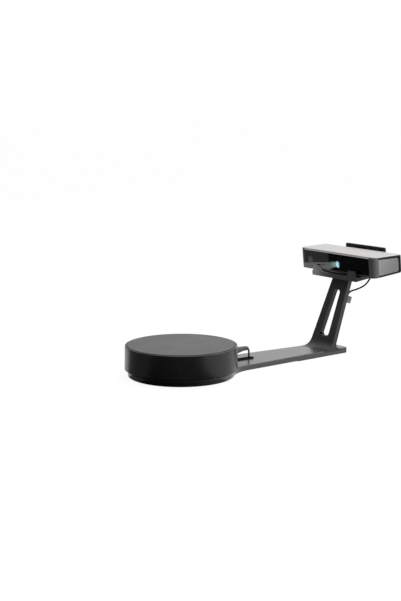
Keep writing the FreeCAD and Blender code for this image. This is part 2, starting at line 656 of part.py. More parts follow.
def stand_outline(drawing, inset):
    """The base in plan: a round end, blended into a tapering arm, drawn inset by a wall."""
    inner = number(inset) if inset != "0" else 0.0
    radius = number("ring_radius") - inner
    blend = number("blend_radius") + inner
    slope = (number("arm_root_width") - number("arm_end_width")) / 2
    slope = slope / (number("arm_end_x") - number("arm_root_x"))
    slant = math.hypot(1, slope)
    lift = number("arm_root_width") / 2 + slope * number("arm_root_x") - inner * slant
    end_x = number("arm_end_x") - inner
    # the blend's centre lies outside the arm's edge, and its circle touches the round end
    high = lift + blend * slant
    reach = radius + blend
    spread = math.sqrt((slope * high) ** 2 - slant ** 2 * (high ** 2 - reach ** 2))
    far = (slope * high + spread) / slant ** 2
    centre = Vector(far, high - slope * far, 0)
    on_ring = centre * (radius / reach)
    on_edge = centre - Vector(slope, 1, 0) * (blend / slant)
    corner = Vector(end_x, lift - slope * end_x, 0)
    drawing.addGeometry([
        bend(Vector(), radius, on_ring, mirrored(on_ring)),
        bend(mirrored(centre), blend, mirrored(on_edge), mirrored(on_ring)),
        Part.LineSegment(mirrored(on_edge), mirrored(corner)),
        Part.LineSegment(mirrored(corner), corner),
        Part.LineSegment(corner, on_edge),
        bend(centre, blend, on_ring, on_edge),
    ])
    ring, low_blend, low_edge, end, high_edge, high_blend = range(6)
    for first, first_end, second, second_end in (
            (ring, 2, low_blend, 2), (low_blend, 1, low_edge, 1),
            (high_edge, 2, high_blend, 2), (high_blend, 1, ring, 1)):
        drawing.addConstraint(Sketcher.Constraint("Tangent", first, first_end, second, second_end))
    drawing.addConstraint(Sketcher.Constraint("Coincident", low_edge, 2, end, 1))
    drawing.addConstraint(Sketcher.Constraint("Coincident", end, 2, high_edge, 1))
    drawing.addConstraint(Sketcher.Constraint("Coincident", ring, 3, -1, 1))
    dimension(drawing, "Radius", ring, 0, f"ring_radius - {inset}", radius)
    dimension(drawing, "Radius", low_blend, 0, f"blend_radius + {inset}", blend)
    dimension(drawing, "Radius", high_blend, 0, f"blend_radius + {inset}", blend)
    slant_inset = f"{inset} * sqrt(1 + {ARM_SLOPE} ^ 2)"
    for point, side in ((1, -1), (2, 1)):
        dimension(drawing, "DistanceX", end, point, f"arm_end_x - {inset}", end_x)
        dimension(drawing, "DistanceY", end, point,
                  f"{side} * ({arm_edge(f'(arm_end_x - {inset})')} - {slant_inset})", side * corner.y)
    middle = "(arm_root_x + arm_end_x) / 2"
    middle_x = (number("arm_root_x") + number("arm_end_x")) / 2
    for line, side in ((low_edge, -1), (high_edge, 1)):
        height = side * (lift - slope * middle_x)
        mark = drawing.addGeometry(Part.Point(Vector(middle_x, height, 0)), True)
        drawing.addConstraint(Sketcher.Constraint("PointOnObject", mark, 1, line))
        dimension(drawing, "DistanceX", mark, 1, middle, middle_x)
        dimension(drawing, "DistanceY", mark, 1,
                  f"{side} * ({arm_edge(f'({middle})')} - {slant_inset})", height)


def foot_places():
    """Turntable feet on the diagonals."""
    reach = "table_foot_circle * sqrt(0.5)"
    return [(f"{across}{reach}", f"{up}{reach}") for across in ("", "-") for up in ("", "-")]


def foot_screw_places():
    return [(station, f"{side}foot_screw_spread")
            for station in ("foot_screw_front", "foot_screw_rear") for side in ("", "-")]


def cover_screw_places():
    ends = ("cover_start_x + cover_screw_inset", "cover_end_x - cover_screw_inset")
    return [(end, f"{side}(cover_width / 2 - cover_screw_side)") for end in ends for side in ("", "-")]


def make_base():
    """Moulded base: skin, outer wall, cable channel, ribs, and a thick seat for the upright."""
    base = body("base_plate")
    rib_height = "(base_top - base_skin - foot_height)"
    outline = sketch(base, "XY_Plane", "foot_height")
    stand_outline(outline, "0")
    pad(base, outline, "base_top - foot_height")
    end_x = number("arm_end_x")
    top = number("base_top")
    round_edges(base, "arm_corner",
                lambda edge: along(edge, Z_AXIS) and edge.BoundBox.XMin > end_x - 0.1)
    round_edges(base, "base_edge", lambda edge: level(edge, top))
    hollow = sketch(base, "XY_Plane", "foot_height")
    stand_outline(hollow, "base_wall")
    pocket(base, hollow, rib_height, reverse=True)

    rails = sketch(base, "XY_Plane", "foot_height")
    ribs = sketch(base, "XY_Plane", "foot_height")
    blocks = sketch(base, "XY_Plane", "foot_height")
    rear = "(foot_flange_rear + rib_thickness)"
    front = "(foot_flange_front - rib_thickness)"
    for side in ("", "-"):
        rectangle(rails, "slot_start_x - slot_width", f"{side}(channel_width / 2)",
                  "arm_end_x - base_wall / 2", f"{side}(channel_width / 2 + rib_thickness)")
        for index in range(6):
            middle = f"(arm_root_x + {index} * rib_pitch)"
            rectangle(ribs, f"{middle} - rib_thickness / 2", f"{side}(channel_width / 2 + rib_thickness / 2)",
                      f"{middle} + rib_thickness / 2", f"{side}({arm_edge(middle)} - base_wall / 2)")
        polygon(blocks, [(front, f"{side}(channel_width / 2)"), (rear, f"{side}(channel_width / 2)"),
                         (rear, f"{side}({arm_edge(rear)} - base_wall / 2)"),
                         (front, f"{side}({arm_edge(front)} - base_wall / 2)")])
    pad(base, rails, rib_height)
    pad(base, ribs, rib_height)
    pad(base, blocks, rib_height)
    for inner in ("ring_foot_inner", "hub_ring_radius"):
        ring = sketch(base, "XY_Plane", "foot_height")
        circle(ring, "0", "0", f"{inner} + rib_thickness")
        circle(ring, "0", "0", inner)
        pad(base, ring, rib_height)
    spoke = sketch(base, "XY_Plane", "foot_height")
    spoke.AttachmentOffset = Placement(Vector(), Rotation(Z_AXIS, 180.0 / number("spoke_count")))
    rectangle(spoke, "hub_ring_radius + rib_thickness / 2", "-rib_thickness / 2",
              "ring_radius - base_wall / 2", "rib_thickness / 2")
    repeat_round(base, pad(base, spoke, rib_height), "spoke_count")

    flange = sketch(base, "XY_Plane", "base_top")
    rectangle(flange, "foot_flange_front - piece_gap", "-arm_root_width", "foot_flange_rear + piece_gap",
              "arm_root_width")
    pocket(base, flange, "foot_flange_thickness")
    lid = sketch(base, "XY_Plane", "foot_height")
    rectangle(lid, "cover_start_x - piece_gap", "-(cover_width / 2 + piece_gap)",
              "cover_end_x + piece_gap", "cover_width / 2 + piece_gap")
    pocket(base, lid, "cover_thickness", reverse=True)
    slot = sketch(base, "XY_Plane", "base_top")
    rectangle(slot, "slot_start_x", "-slot_width / 2", "slot_end_x - slot_width / 2", "slot_width / 2")
    pocket(base, slot, "base_skin + piece_gap")
    slot_end = sketch(base, "XY_Plane", "base_top")
    circle(slot_end, "slot_end_x - slot_width / 2", "0", "slot_width / 2")
    pocket(base, slot_end, "base_skin + piece_gap")
    hole = sketch(base, "XY_Plane", "base_top")
    circle(hole, "cable_hole_x", "cable_hole_y", "cable_hole_radius")
    pocket(base, hole, "base_skin + piece_gap")
    feet = sketch(base, "XY_Plane", "base_top")
    for across, up in foot_places():
        circle(feet, across, up, "table_foot_radius + piece_gap")
    pocket(base, feet, "table_foot_recess")
    shanks = sketch(base, "XY_Plane", "foot_height")
    heads = sketch(base, "XY_Plane", "foot_height")
    for across, up in foot_screw_places():
        circle(shanks, across, up, "foot_screw_radius + piece_gap")
        circle(heads, across, up, f"foot_screw_radius * screw_wide + piece_gap")
    pocket(base, shanks, "base_top - foot_height", reverse=True)
    pocket(base, heads, "base_top - foot_height - foot_flange_thickness - foot_screw_web", reverse=True)
    bosses = sketch(base, "XY_Plane", "foot_height + cover_thickness")
    threads = sketch(base, "XY_Plane", "foot_height + cover_thickness")
    for across, up in cover_screw_places():
        circle(bosses, across, up, "cover_screw_radius * 2.2")
        circle(threads, across, up, "cover_screw_radius")
    pad(base, bosses, f"{rib_height} - cover_thickness")
    pocket(base, threads, "cover_screw_grip", reverse=True)


def make_base_covers():
    """Channel cover and rubber parts under the base, and the screws that hold the cover."""
    cover = body("arm_bottom_cover")
    plate = sketch(cover, "XY_Plane", "foot_height")
    sinks = sketch(cover, "XY_Plane", "foot_height")
    rectangle(plate, "cover_start_x", "-cover_width / 2", "cover_end_x", "cover_width / 2")
    pieces = []
    for across, up in cover_screw_places():
        circle(plate, across, up, "cover_screw_radius + piece_gap")
        circle(sinks, across, up, "cover_screw_head")
        head = cylinder("cover_screw_head - piece_gap", "cover_thickness / 2", across, up, "foot_height")
        shank = cylinder("cover_screw_radius", "cover_thickness / 2 + cover_screw_grip", across, up,
                         "foot_height + cover_thickness / 2")
        pieces.append(fuse(head, shank))
    pad(cover, plate, "cover_thickness")
    pocket(cover, sinks, "cover_thickness / 2", reverse=True)
    group("cover_screws", pieces)

    ring = body("ring_foot")
    rubber = sketch(ring, "XY_Plane")
    circle(rubber, "0", "0", "ring_foot_outer")
    circle(rubber, "0", "0", "ring_foot_inner")
    pad(ring, rubber, "foot_height")

    strip = body("arm_foot_pad")
    rubber = sketch(strip, "XY_Plane")
    start = "pad_start_x"
    end = "(arm_end_x - pad_inset)"
    polygon(rubber, [(start, f"-({arm_edge(start)} - pad_inset)"), (end, f"-({arm_edge(end)} - pad_inset)"),
                     (end, f"{arm_edge(end)} - pad_inset"), (start, f"{arm_edge(start)} - pad_inset")])
    pad(strip, rubber, "foot_height")
    end_x = number("arm_end_x") - number("pad_inset")
    round_edges(strip, "arm_corner", lambda edge: along(edge, Z_AXIS) and edge.BoundBox.XMin > end_x - 0.1)


def upright_depth(behind, low):
    """Depth in the head's frame where a leaning face of the upright meets a plane below the head."""
    lift = f"(head_z - ({low}) * {COS_TILT})"
    run = f"(upright_front_x + {behind} - head_x - ({low}) * {SIN_TILT} + {lift} * {TAN_LEAN})"
    return f"({run} / ({COS_TILT} - {SIN_TILT} * {TAN_LEAN}))"


def in_head(depth, low):
    """Row-frame x and z of a point at a depth behind the head's front and below its underside."""
    return (f"head_x + ({depth}) * {COS_TILT} + ({low}) * {SIN_TILT}",
            f"head_z + ({depth}) * {SIN_TILT} - ({low}) * {COS_TILT}")


def make_upright():
    """Leaning, tapering plate with a long slot, blended into the foot flange and the top flange."""
    upright = body("upright")
    flange_low = "(base_top - foot_flange_thickness)"
    flange_under = "(cradle_low + top_flange_thickness)"
    front_foot = f"upright_front_x + base_top * {TAN_LEAN}"
    side = sketch(upright, "XZ_Plane")
    polygon(side, [
        ("foot_flange_front", flange_low), ("foot_flange_rear", flange_low),
        ("foot_flange_rear", "base_top"), (f"{front_foot} + upright_thickness", "base_top"),
        in_head(upright_depth("upright_thickness", "cradle_low"), "cradle_low"),
        in_head(upright_depth("0", "cradle_low"), "cradle_low"),
        (front_foot, "base_top"), ("foot_flange_front", "base_top")])
    pad(upright, side, "arm_root_width", symmetric=True)
    top = number("base_top")
    lean = math.tan(math.radians(number("upright_lean")))
    front_x = number("upright_front_x") + top * lean
    rear_x = front_x + number("upright_thickness")

    def crease(edge, x_place):
        return along(edge, Y_AXIS) and level(edge, top) and abs(edge.BoundBox.XMin - x_place) < 0.1

    round_edges(upright, "front_blend", lambda edge: crease(edge, front_x))
    round_edges(upright, "rear_blend", lambda edge: crease(edge, rear_x))

    # the foot flange keeps the arm's outline, and the plate above it tapers
    plan = sketch(upright, "XY_Plane", flange_low)
    taper = sketch(upright, "YZ_Plane")
    start, end = "(foot_flange_front - 1)", "(foot_flange_rear + 1)"
    half_low = "((upright_foot_width - upright_taper * base_top) / 2)"
    half_high = "((upright_foot_width - upright_taper * head_z) / 2)"
    for sign in ("", "-"):
        polygon(plan, [(start, f"{sign}{arm_edge(start)}"), (end, f"{sign}{arm_edge(end)}"),
                       (end, f"{sign}arm_root_width"), (start, f"{sign}arm_root_width")])
        polygon(taper, [(f"{sign}{half_low}", "base_top"), (f"{sign}{half_high}", "head_z"),
                        (f"{sign}arm_root_width", "head_z"), (f"{sign}arm_root_width", "base_top")])
    pocket(upright, plan, "foot_flange_thickness", reverse=True)
    pocket(upright, taper, "head_x * 2", reverse=True)

    window = sketch(upright, "YZ_Plane")
    polygon(window, [("-window_low_width / 2", "window_low"), ("window_low_width / 2", "window_low"),
                     ("window_high_width / 2", "window_high"), ("-window_high_width / 2", "window_high")])
    pocket(upright, window, "head_x * 2", reverse=True)
    low, high = number("window_low"), number("window_high")
    round_edges(upright, "window_corner",
                lambda edge: along(edge, X_AXIS) and (level(edge, low) or level(edge, high)))

    shelf = sketch(upright, "XZ_Plane")
    polygon(shelf, [in_head(upright_depth("0", "cradle_low"), "cradle_low"),
                    in_head(upright_depth("0", flange_under), flange_under),
                    in_head("top_flange_depth", flange_under), in_head("top_flange_depth", "cradle_low")])
    pad(upright, shelf, "top_flange_width", symmetric=True)
    far_x = number("head_x") + number("top_flange_depth") * 0.95
    round_edges(upright, "top_flange_corner",
                lambda edge: edge.Length < number("top_flange_thickness") * 1.05
                and edge.BoundBox.XMin > far_x and not along(edge, Y_AXIS))
    eyelet = sketch(upright, "YZ_Plane")
    circle(eyelet, "eyelet_offset", "eyelet_height", "eyelet_radius")
    pocket(upright, eyelet, f"upright_front_x + eyelet_height * {TAN_LEAN} + eyelet_depth", reverse=True)

    # threads for the foot screws, and holes for the clamping screw and the cradle screws
    threads = sketch(upright, "XY_Plane", flange_low)
    for across, up in foot_screw_places():
        circle(threads, across, up, "foot_screw_radius")
    pocket(upright, threads, "foot_screw_grip", reverse=True)
    holes = tilted_sketch(upright)
    circle(holes, "fixing_depth", "0", "fixing_radius + screw_clearance")
    for sign in ("", "-"):
        circle(holes, "cradle_screw_depth", f"{sign}cradle_screw_spread",
               "cradle_screw_radius + piece_gap")
    pocket(upright, holes, "top_flange_thickness * 3", symmetric=True)


def tilted_sketch(item):
    """A sketch on the cradle's underside for a body that is drawn in the row's frame."""
    drawing = item.newObject("Sketcher::SketchObject", item.Name + "_tilted")
    drawing.AttachmentSupport = (origin_feature(item, "XY_Plane"), [""])
    drawing.MapMode = "FlatFace"
    place = drawing.AttachmentOffset
    drawing.AttachmentOffset = Placement(place.Base, Rotation(Vector(0, -1, 0), 1.0))
    across, up = in_head("0", "cradle_low")
    drawing.setExpression("AttachmentOffset.Base.x", expression(across))
    drawing.setExpression("AttachmentOffset.Base.z", expression(up))
    drawing.setExpression("AttachmentOffset.Rotation.Angle", expression("head_tilt * 1 deg"))
    return drawing


def make_foot_screws():
    """Four screws from below that hold the upright's foot flange."""
    seat_height = "base_top - foot_flange_thickness - foot_screw_web"
    length = "foot_screw_web + foot_screw_grip"
    group("foot_screws", [screw("foot_screw_radius", length, across, up, seat_height)
                          for across, up in foot_screw_places()])


def make_cable_guide():
    """Open clip on the upright's rear that the link cable snaps into."""
    guide = body("cable_guide")
    side = "((upright_foot_width - upright_taper * guide_middle) / 2 - guide_inset)"
    block = sketch(guide, "XY_Plane", "-guide_height / 2")
    rectangle(block, "0", f"-{side}", "guide_reach", f"-{side} + guide_width")
    circle(block, "cable_standoff", "-cable_side", "guide_bore")
    pad(guide, block, "guide_height")
    mouth = sketch(guide, "XY_Plane", "-guide_height / 2")
    rectangle(mouth, "cable_standoff", "-cable_side - guide_mouth / 2", "guide_reach + 1",
              "-cable_side + guide_mouth / 2")
    pocket(guide, mouth, "guide_height", reverse=True)
    reach = number("guide_reach")
    round_edges(guide, "guide_edge", lambda edge: along(edge, Z_AXIS) and edge.BoundBox.XMax > reach - 0.1
                and abs(edge.BoundBox.YMin + number("cable_side")) > number("guide_mouth"))
    turn(guide, Y_AXIS, "upright_lean")
    seat(guide, f"upright_front_x + guide_middle * {TAN_LEAN} + upright_thickness", "0", "guide_middle")


# ---------------------------------------------------------------------------------------------------
# Cradle, drawn in the head's frame


def make_cradle():
    """L-shaped cradle: floor, front lip with two hooks, and a back plate with an opening for plugs."""
    cradle = body("head_cradle")
    floor = sketch(cradle, "XY_Plane", "-cradle_low")
    back = "(head_depth + back_gap + back_thickness)"
    polygon(floor, [("-cradle_front", "-cradle_half_width"), (back, "-back_half_width"),
                    (back, "back_half_width"), ("-cradle_front", "cradle_half_width")])
    pad(cradle, floor, "cradle_low - cradle_seat")
    hook_inner = "(hook_centre - hook_width / 2)"
    hook_outer = "(hook_centre + hook_width / 2)"
    lip = sketch(cradle, "YZ_Plane", "-cradle_front")
    polygon(lip, [("-cradle_half_width", "-cradle_low"), ("cradle_half_width", "-cradle_low"),
                  ("cradle_half_width", "-lip_top"), (hook_outer, "-lip_top"), (hook_outer, "hook_height"),
                  (hook_inner, "hook_height"), (hook_inner, "-lip_top"),
                  (f"-{hook_inner}", "-lip_top"), (f"-{hook_inner}", "hook_height"),
                  (f"-{hook_outer}", "hook_height"), (f"-{hook_outer}", "-lip_top"),
                  ("-cradle_half_width", "-lip_top")])
    pad(cradle, lip, "cradle_lip")
    inner = number("hook_centre") - number("hook_width") / 2
    outer = number("hook_centre") + number("hook_width") / 2
    high = number("hook_height")
    low = -number("lip_top")
    in_lip = number("cradle_lip") - number("cradle_front") + 0.1

    def across_lip(edge, side, height):
        box_ = edge.BoundBox
        return (along(edge, X_AXIS) and level(edge, height) and box_.XMax < in_lip
                and abs(abs(box_.YMin) - side) < 0.1)

    round_edges(cradle, "hook_blend", lambda edge: across_lip(edge, inner, low))
    round_edges(cradle, "hook_corner", lambda edge: across_lip(edge, outer, low)
                or across_lip(edge, outer, high) or across_lip(edge, inner, high))
    plate = sketch(cradle, "YZ_Plane", "head_depth + back_gap")
    rectangle(plate, "-back_half_width", "-cradle_low", "back_half_width", "back_high")
    pad(cradle, plate, "back_thickness")
    top = number("back_high")
    round_edges(cradle, "back_corner", lambda edge: along(edge, X_AXIS) and level(edge, top))
    inner_x = number("head_depth") + number("back_gap")
    floor_top = -number("cradle_seat")
    round_edges(cradle, "back_fillet", lambda edge: along(edge, Y_AXIS) and level(edge, floor_top)
                and abs(edge.BoundBox.XMin - inner_x) < 0.1)
    ports = sketch(cradle, "YZ_Plane", "head_depth")
    rectangle(ports, "-port_half_width", "port_low", "port_half_width", "port_high")
    pocket(cradle, ports, "back_gap + back_thickness + 1", reverse=True)
    low_edge, high_edge = number("port_low"), number("port_high")
    round_edges(cradle, "back_corner", lambda edge: along(edge, X_AXIS)
                and (level(edge, low_edge) or level(edge, high_edge)))
    holes = sketch(cradle, "XY_Plane", "-cradle_low")
    circle(holes, "fixing_depth", "0", "fixing_radius + screw_clearance")
    pocket(cradle, holes, "cradle_low", reverse=True)
    threads = sketch(cradle, "XY_Plane", "-cradle_low")
    for sign in ("", "-"):
        circle(threads, "cradle_screw_depth", f"{sign}cradle_screw_spread", "cradle_screw_radius")
    pocket(cradle, threads, "cradle_screw_grip", reverse=True)
    seat_in_head(cradle)


def make_cradle_parts():
    """Soft pads, the screws under the top flange, and the thumb screw that clamps the head."""
    pads = []
    for sign in (1, -1):
        near = "pad_from_centre" if sign > 0 else "-pad_from_centre - pad_width"
        pads.append(box("pad_margin", near, "-cradle_seat",
                        "head_depth - pad_margin * 2", "pad_width", "cradle_seat"))
        near = f"{sign} * hook_centre - pad_width / 2"
        pads.append(box("cradle_lip - cradle_front", near, "hook_height * 0.1",
                        "cradle_front - cradle_lip - hook_play", "pad_width", "hook_height * 0.75"))
        near = f"{sign} * (port_half_width + back_half_width) / 2 - pad_width / 2"
        pads.append(box("head_depth", near, "port_low", "back_gap", "pad_width", "port_high - port_low"))
    seat_in_head(group("cradle_pads", pads))
    under = "-(cradle_low + top_flange_thickness)"
    seat_in_head(group("cradle_screws", [
        screw("cradle_screw_radius", "top_flange_thickness + cradle_screw_grip", "cradle_screw_depth",
              f"{sign}cradle_screw_spread", under) for sign in ("", "-")]))

    collar = cylinder("knob_radius * 0.6", "washer_thickness", "fixing_depth", "0",
                      f"{under} - washer_thickness")
    knob_low = f"{under} - washer_thickness - knob_height"
    grip = doc.addObject("Part::Chamfer", "knob_grip")
    round_grip = cylinder("knob_radius", "knob_height", "fixing_depth", "0", knob_low)
    doc.recompute()
    grip.Base = round_grip
    bevel = number("knob_bevel")
    grip.Edges = [(i + 1, bevel, bevel) for i, edge in enumerate(round_grip.Shape.Edges)
                  if isinstance(edge.Curve, Part.Circle)]
    flutes = []
    count = int(number("knob_flutes"))
    for index in range(count):
        angle = f"({index} * 360 / knob_flutes * 1 deg)"
        flutes.append(cylinder("knob_flute_radius", "knob_height + 2",
                               f"fixing_depth + (knob_radius + knob_flute_radius * 0.3) * cos{angle}",
                               f"(knob_radius + knob_flute_radius * 0.3) * sin{angle}", f"{knob_low} - 1"))
    stud_length = "cradle_low + top_flange_thickness + nut_grip"
    stud = cylinder("fixing_radius", stud_length, "fixing_depth", "0", under)
    knob = fuse(cut(grip, fuse(*flutes)), collar, stud)
    seat_in_head(node(knob, "thumb_screw"))


# ---------------------------------------------------------------------------------------------------
# Head, drawn in its own frame


GLASS_HIGH = "(head_height - cover_lip_height - joint_gap)"


def under_cover(depth, drop):
    """Height in the head at a depth, measured down from its sloping top."""
    return f"(head_height - ({depth}) * cover_fall - ({drop}))"


def head_blank(item):
    """The head's whole outside, which its casing pieces share."""
    outline = sketch(item, "XZ_Plane")
    polygon(outline, [("0", "0"), ("head_depth", "0"), ("head_depth", "head_rear_height"),
                      ("0", "head_height")])
    pad(item, outline, "head_width", symmetric=True)
    rear = number("head_depth")
    round_edges(item, "head_corner", lambda edge: along(edge, Z_AXIS) and edge.BoundBox.XMax < rear / 2)
    round_edges(item, "head_rear_corner",
                lambda edge: along(edge, Y_AXIS) and edge.BoundBox.XMin > rear - 0.1)
    top = number("head_height")
    round_edges(item, "head_edge", lambda edge: level(edge, top) and edge.BoundBox.XMax < rear / 2)


def keep(item, plane, level_, above):
    """Cut a head piece off at a plane, and keep the part above or below it."""
    saw = sketch(item, plane, level_)
    far = "(head_width + head_depth)"
    rectangle(saw, f"-{far}", f"-{far}", far, far)
    pocket(item, saw, far, reverse=not above)


def panel_outline(drawing, front, margin):
    """A side panel's outline, whose upper edge runs along under the top cover."""
    rear = f"(head_depth - panel_border + {margin})"
    drop = f"cover_edge + panel_border - {margin}"
    polygon(drawing, [(front, f"panel_border - {margin}"), (rear, f"panel_border - {margin}"),
                      (rear, under_cover(rear, drop)), (front, under_cover(front, drop))])


def keep_by_cover(item, above):
    """Cut a head piece off along the top cover's underside, and keep the part above or below it."""
    front, rear = "-cover_edge", "(head_depth + cover_edge)"
    far = "-head_height" if above else "head_height * 2"
    saw = sketch(item, "XZ_Plane")
    polygon(saw, [(front, under_cover(front, "cover_edge")), (rear, under_cover(rear, "cover_edge")),
                  (rear, far), (front, far)])
    pocket(item, saw, "head_width * 2", symmetric=True)


def make_head_shell():
    """Lower and rear casing: floor, rear wall and side walls, with ports, vents and screw posts."""
    shell = body("head_shell")
    head_blank(shell)
    keep(shell, "YZ_Plane", "bezel_depth + joint_gap", True)
    keep_by_cover(shell, False)
    hollow = sketch(shell, "XY_Plane", "shell_floor")
    rectangle(hollow, "0", "-(head_width / 2 - shell_wall)", "head_depth - shell_wall",
              "head_width / 2 - shell_wall")
    pocket(shell, hollow, "head_height", reverse=True)

    # recesses for the side panels
    for face, outward in (("-head_width / 2", True), ("head_width / 2", False)):
        recess = sketch(shell, "XZ_Plane", face)
        panel_outline(recess, "0", "joint_gap")
        pocket(shell, recess, "panel_thickness", reverse=outward)

    posts = sketch(shell, "XY_Plane")
    bores = sketch(shell, "XY_Plane")
    sinks = sketch(shell, "XY_Plane")
    for across, up in head_post_places():
        circle(posts, across, up, "head_post_radius")
        circle(bores, across, up, "head_screw_radius + piece_gap")
        circle(sinks, across, up, "head_screw_radius * screw_wide + piece_gap")
    pad(shell, posts, "head_post_height")
    pocket(shell, bores, "head_height", reverse=True)
    pocket(shell, sinks, "head_screw_radius * screw_flat", reverse=True)
    stands = sketch(shell, "XY_Plane")
    for across, up in board_post_places():
        circle(stands, across, up, "board_post_radius")
    pad(shell, stands, "board_low")
    stud = sketch(shell, "XY_Plane")
    circle(stud, "fixing_depth", "0", "fixing_radius + screw_clearance")
    pocket(shell, stud, "shell_floor", reverse=True)

    # openings in the rear wall
    doors = sketch(shell, "YZ_Plane", "head_depth")
    for place in ("power_socket_y", "usb_socket_y", "link_socket_y"):
        rectangle(doors, f"{place} - socket_width / 2 - piece_gap", "board_low + board_thickness - piece_gap",
                  f"{place} + socket_width / 2 + piece_gap",
                  "board_low + board_thickness + socket_height + piece_gap")
    circle(doors, "button_y", "button_height", "button_radius + running_gap")
    circle(doors, "button_y", "light_height", "light_radius + piece_gap")
    pocket(shell, doors, "shell_wall")
    for near, count, side in (("vent_start", "vent_count", ""), ("intake_start", "intake_count", "-")):
        vent = sketch(shell, "YZ_Plane", "head_depth")
        rectangle(vent, f"{side}{near}", "vent_low", f"{side}({near} + vent_width)", "vent_high")
        row = repeat_along(shell, pocket(shell, vent, "shell_wall"), count, "vent_pitch", "Y_Axis")
        row.Reversed = side == "-"
    seat_in_head(shell)


def head_post_places():
    front = "(bezel_depth + head_post_inset)"
    rear = "(head_depth - head_post_inset)"
    side = "(head_width / 2 - head_post_inset)"
    return [(depth, f"{sign}{side}") for depth in (front, rear) for sign in ("", "-")]


def board_post_places():
    front = "(board_front + board_post_radius * 2)"
    rear = "(head_depth - shell_wall - board_post_radius * 2)"
    return [(depth, side) for depth in (front, rear)
            for side in ("board_left - board_post_radius * 2", "-(board_right - board_post_radius * 2)")]


def make_head_cover():
    """Pale top cover: a thin plate with a deeper lip along the front, and bosses for the casing screws."""
    cover = body("top_cover")
    head_blank(cover)
    keep_by_cover(cover, True)
    lip = sketch(cover, "XY_Plane", "head_height - cover_lip_height")
    rectangle(lip, "0", "-glass_half_width", "cover_lip_thickness", "glass_half_width")
    pad(cover, lip, "cover_lip_height - cover_edge / 2")
    for places in (head_post_places()[:2], head_post_places()[2:]):
        bosses = sketch(cover, "XY_Plane", "head_post_height")
        threads = sketch(cover, "XY_Plane", "head_post_height")
        for across, up in places:
            circle(bosses, across, up, "head_post_radius")
            circle(threads, across, up, "head_screw_radius")
        pad(cover, bosses, f"{under_cover(places[0][0], 'cover_edge / 2')} - head_post_height")
        pocket(cover, threads, "head_screw_grip + 1", reverse=True)
    seat_in_head(cover)


def make_side_panels():
    """Textured panels let into the casing's sides."""
    for label, sign in (("side_panel_left", 1), ("side_panel_right", -1)):
        panel = body(label)
        outer = "-head_width / 2" if sign > 0 else "head_width / 2"
        profile = sketch(panel, "XZ_Plane", outer)
        panel_outline(profile, "(bezel_depth + joint_gap * 2)", "0")
        pad(panel, profile, "panel_thickness", reverse=sign < 0)
        rear = number("head_depth") - number("panel_border")
        round_edges(panel, "panel_corner",
                    lambda edge: along(edge, Y_AXIS) and edge.BoundBox.XMin > rear - 0.1)
        seat_in_head(panel)


def make_bezel():
    """Front frame with rounded corners, and the glossy window that drops into it."""
    bezel = body("front_bezel")
    head_blank(bezel)
    keep(bezel, "YZ_Plane", "bezel_depth", False)
    keep_by_cover(bezel, False)
    notch = sketch(bezel, "XY_Plane", "head_height - cover_edge")
    rectangle(notch, "-1", "-(glass_half_width + joint_gap)", "cover_lip_thickness + joint_gap",
              "glass_half_width + joint_gap")
    pocket(bezel, notch, "cover_lip_height - cover_edge + joint_gap")
    opening = sketch(bezel, "YZ_Plane")
    rectangle(opening, "-glass_half_width - joint_gap", "glass_low - joint_gap",
              "glass_half_width + joint_gap", f"{GLASS_HIGH} + joint_gap")
    pocket(bezel, opening, "glass_thickness + joint_gap", reverse=True)
    through = sketch(bezel, "YZ_Plane")
    rectangle(through, "-(glass_half_width - glass_ledge)", "glass_low + glass_ledge",
              "glass_half_width - glass_ledge", f"{GLASS_HIGH} - glass_ledge")
    pocket(bezel, through, "bezel_depth + 1", reverse=True)
    seat_in_head(bezel)

    glass = body("front_window")
    pane = sketch(glass, "YZ_Plane", "joint_gap")
    rectangle(pane, "-glass_half_width", "glass_low", "glass_half_width", GLASS_HIGH)
    pad(glass, pane, "glass_thickness")
    round_edges(glass, "glass_corner", lambda edge: along(edge, X_AXIS))
    seat_in_head(glass)


def lens(radius, front, across, up, depth):
    """A plano-convex lens facing forward, its rim a depth behind its bulging front."""
    bulge = "lens_bulge"
    ball = f"(({radius}) ^ 2 + {bulge} ^ 2) / (2 * {bulge})"
    globe = doc.addObject("Part::Sphere", "lens_globe")
    bind(globe, Radius=ball)
    seat(globe, f"{front} + {ball}", across, up)
    rod = cylinder(radius, f"{bulge} + {depth}", front, across, up, X_AXIS)
    item = doc.addObject("Part::Common", "lens_blank")
    item.Base = globe
    item.Tool = rod
    return item


def barrel(radius, front, rear, across, up, mouth):
    """A lens barrel: a tube along the depth with a counterbore for its lens."""
    tube = cylinder(radius, f"{rear} - ({front})", front, across, up, X_AXIS)
    bore = cylinder(f"{radius} - barrel_wall", mouth, front, across, up, X_AXIS)
    return cut(tube, bore)


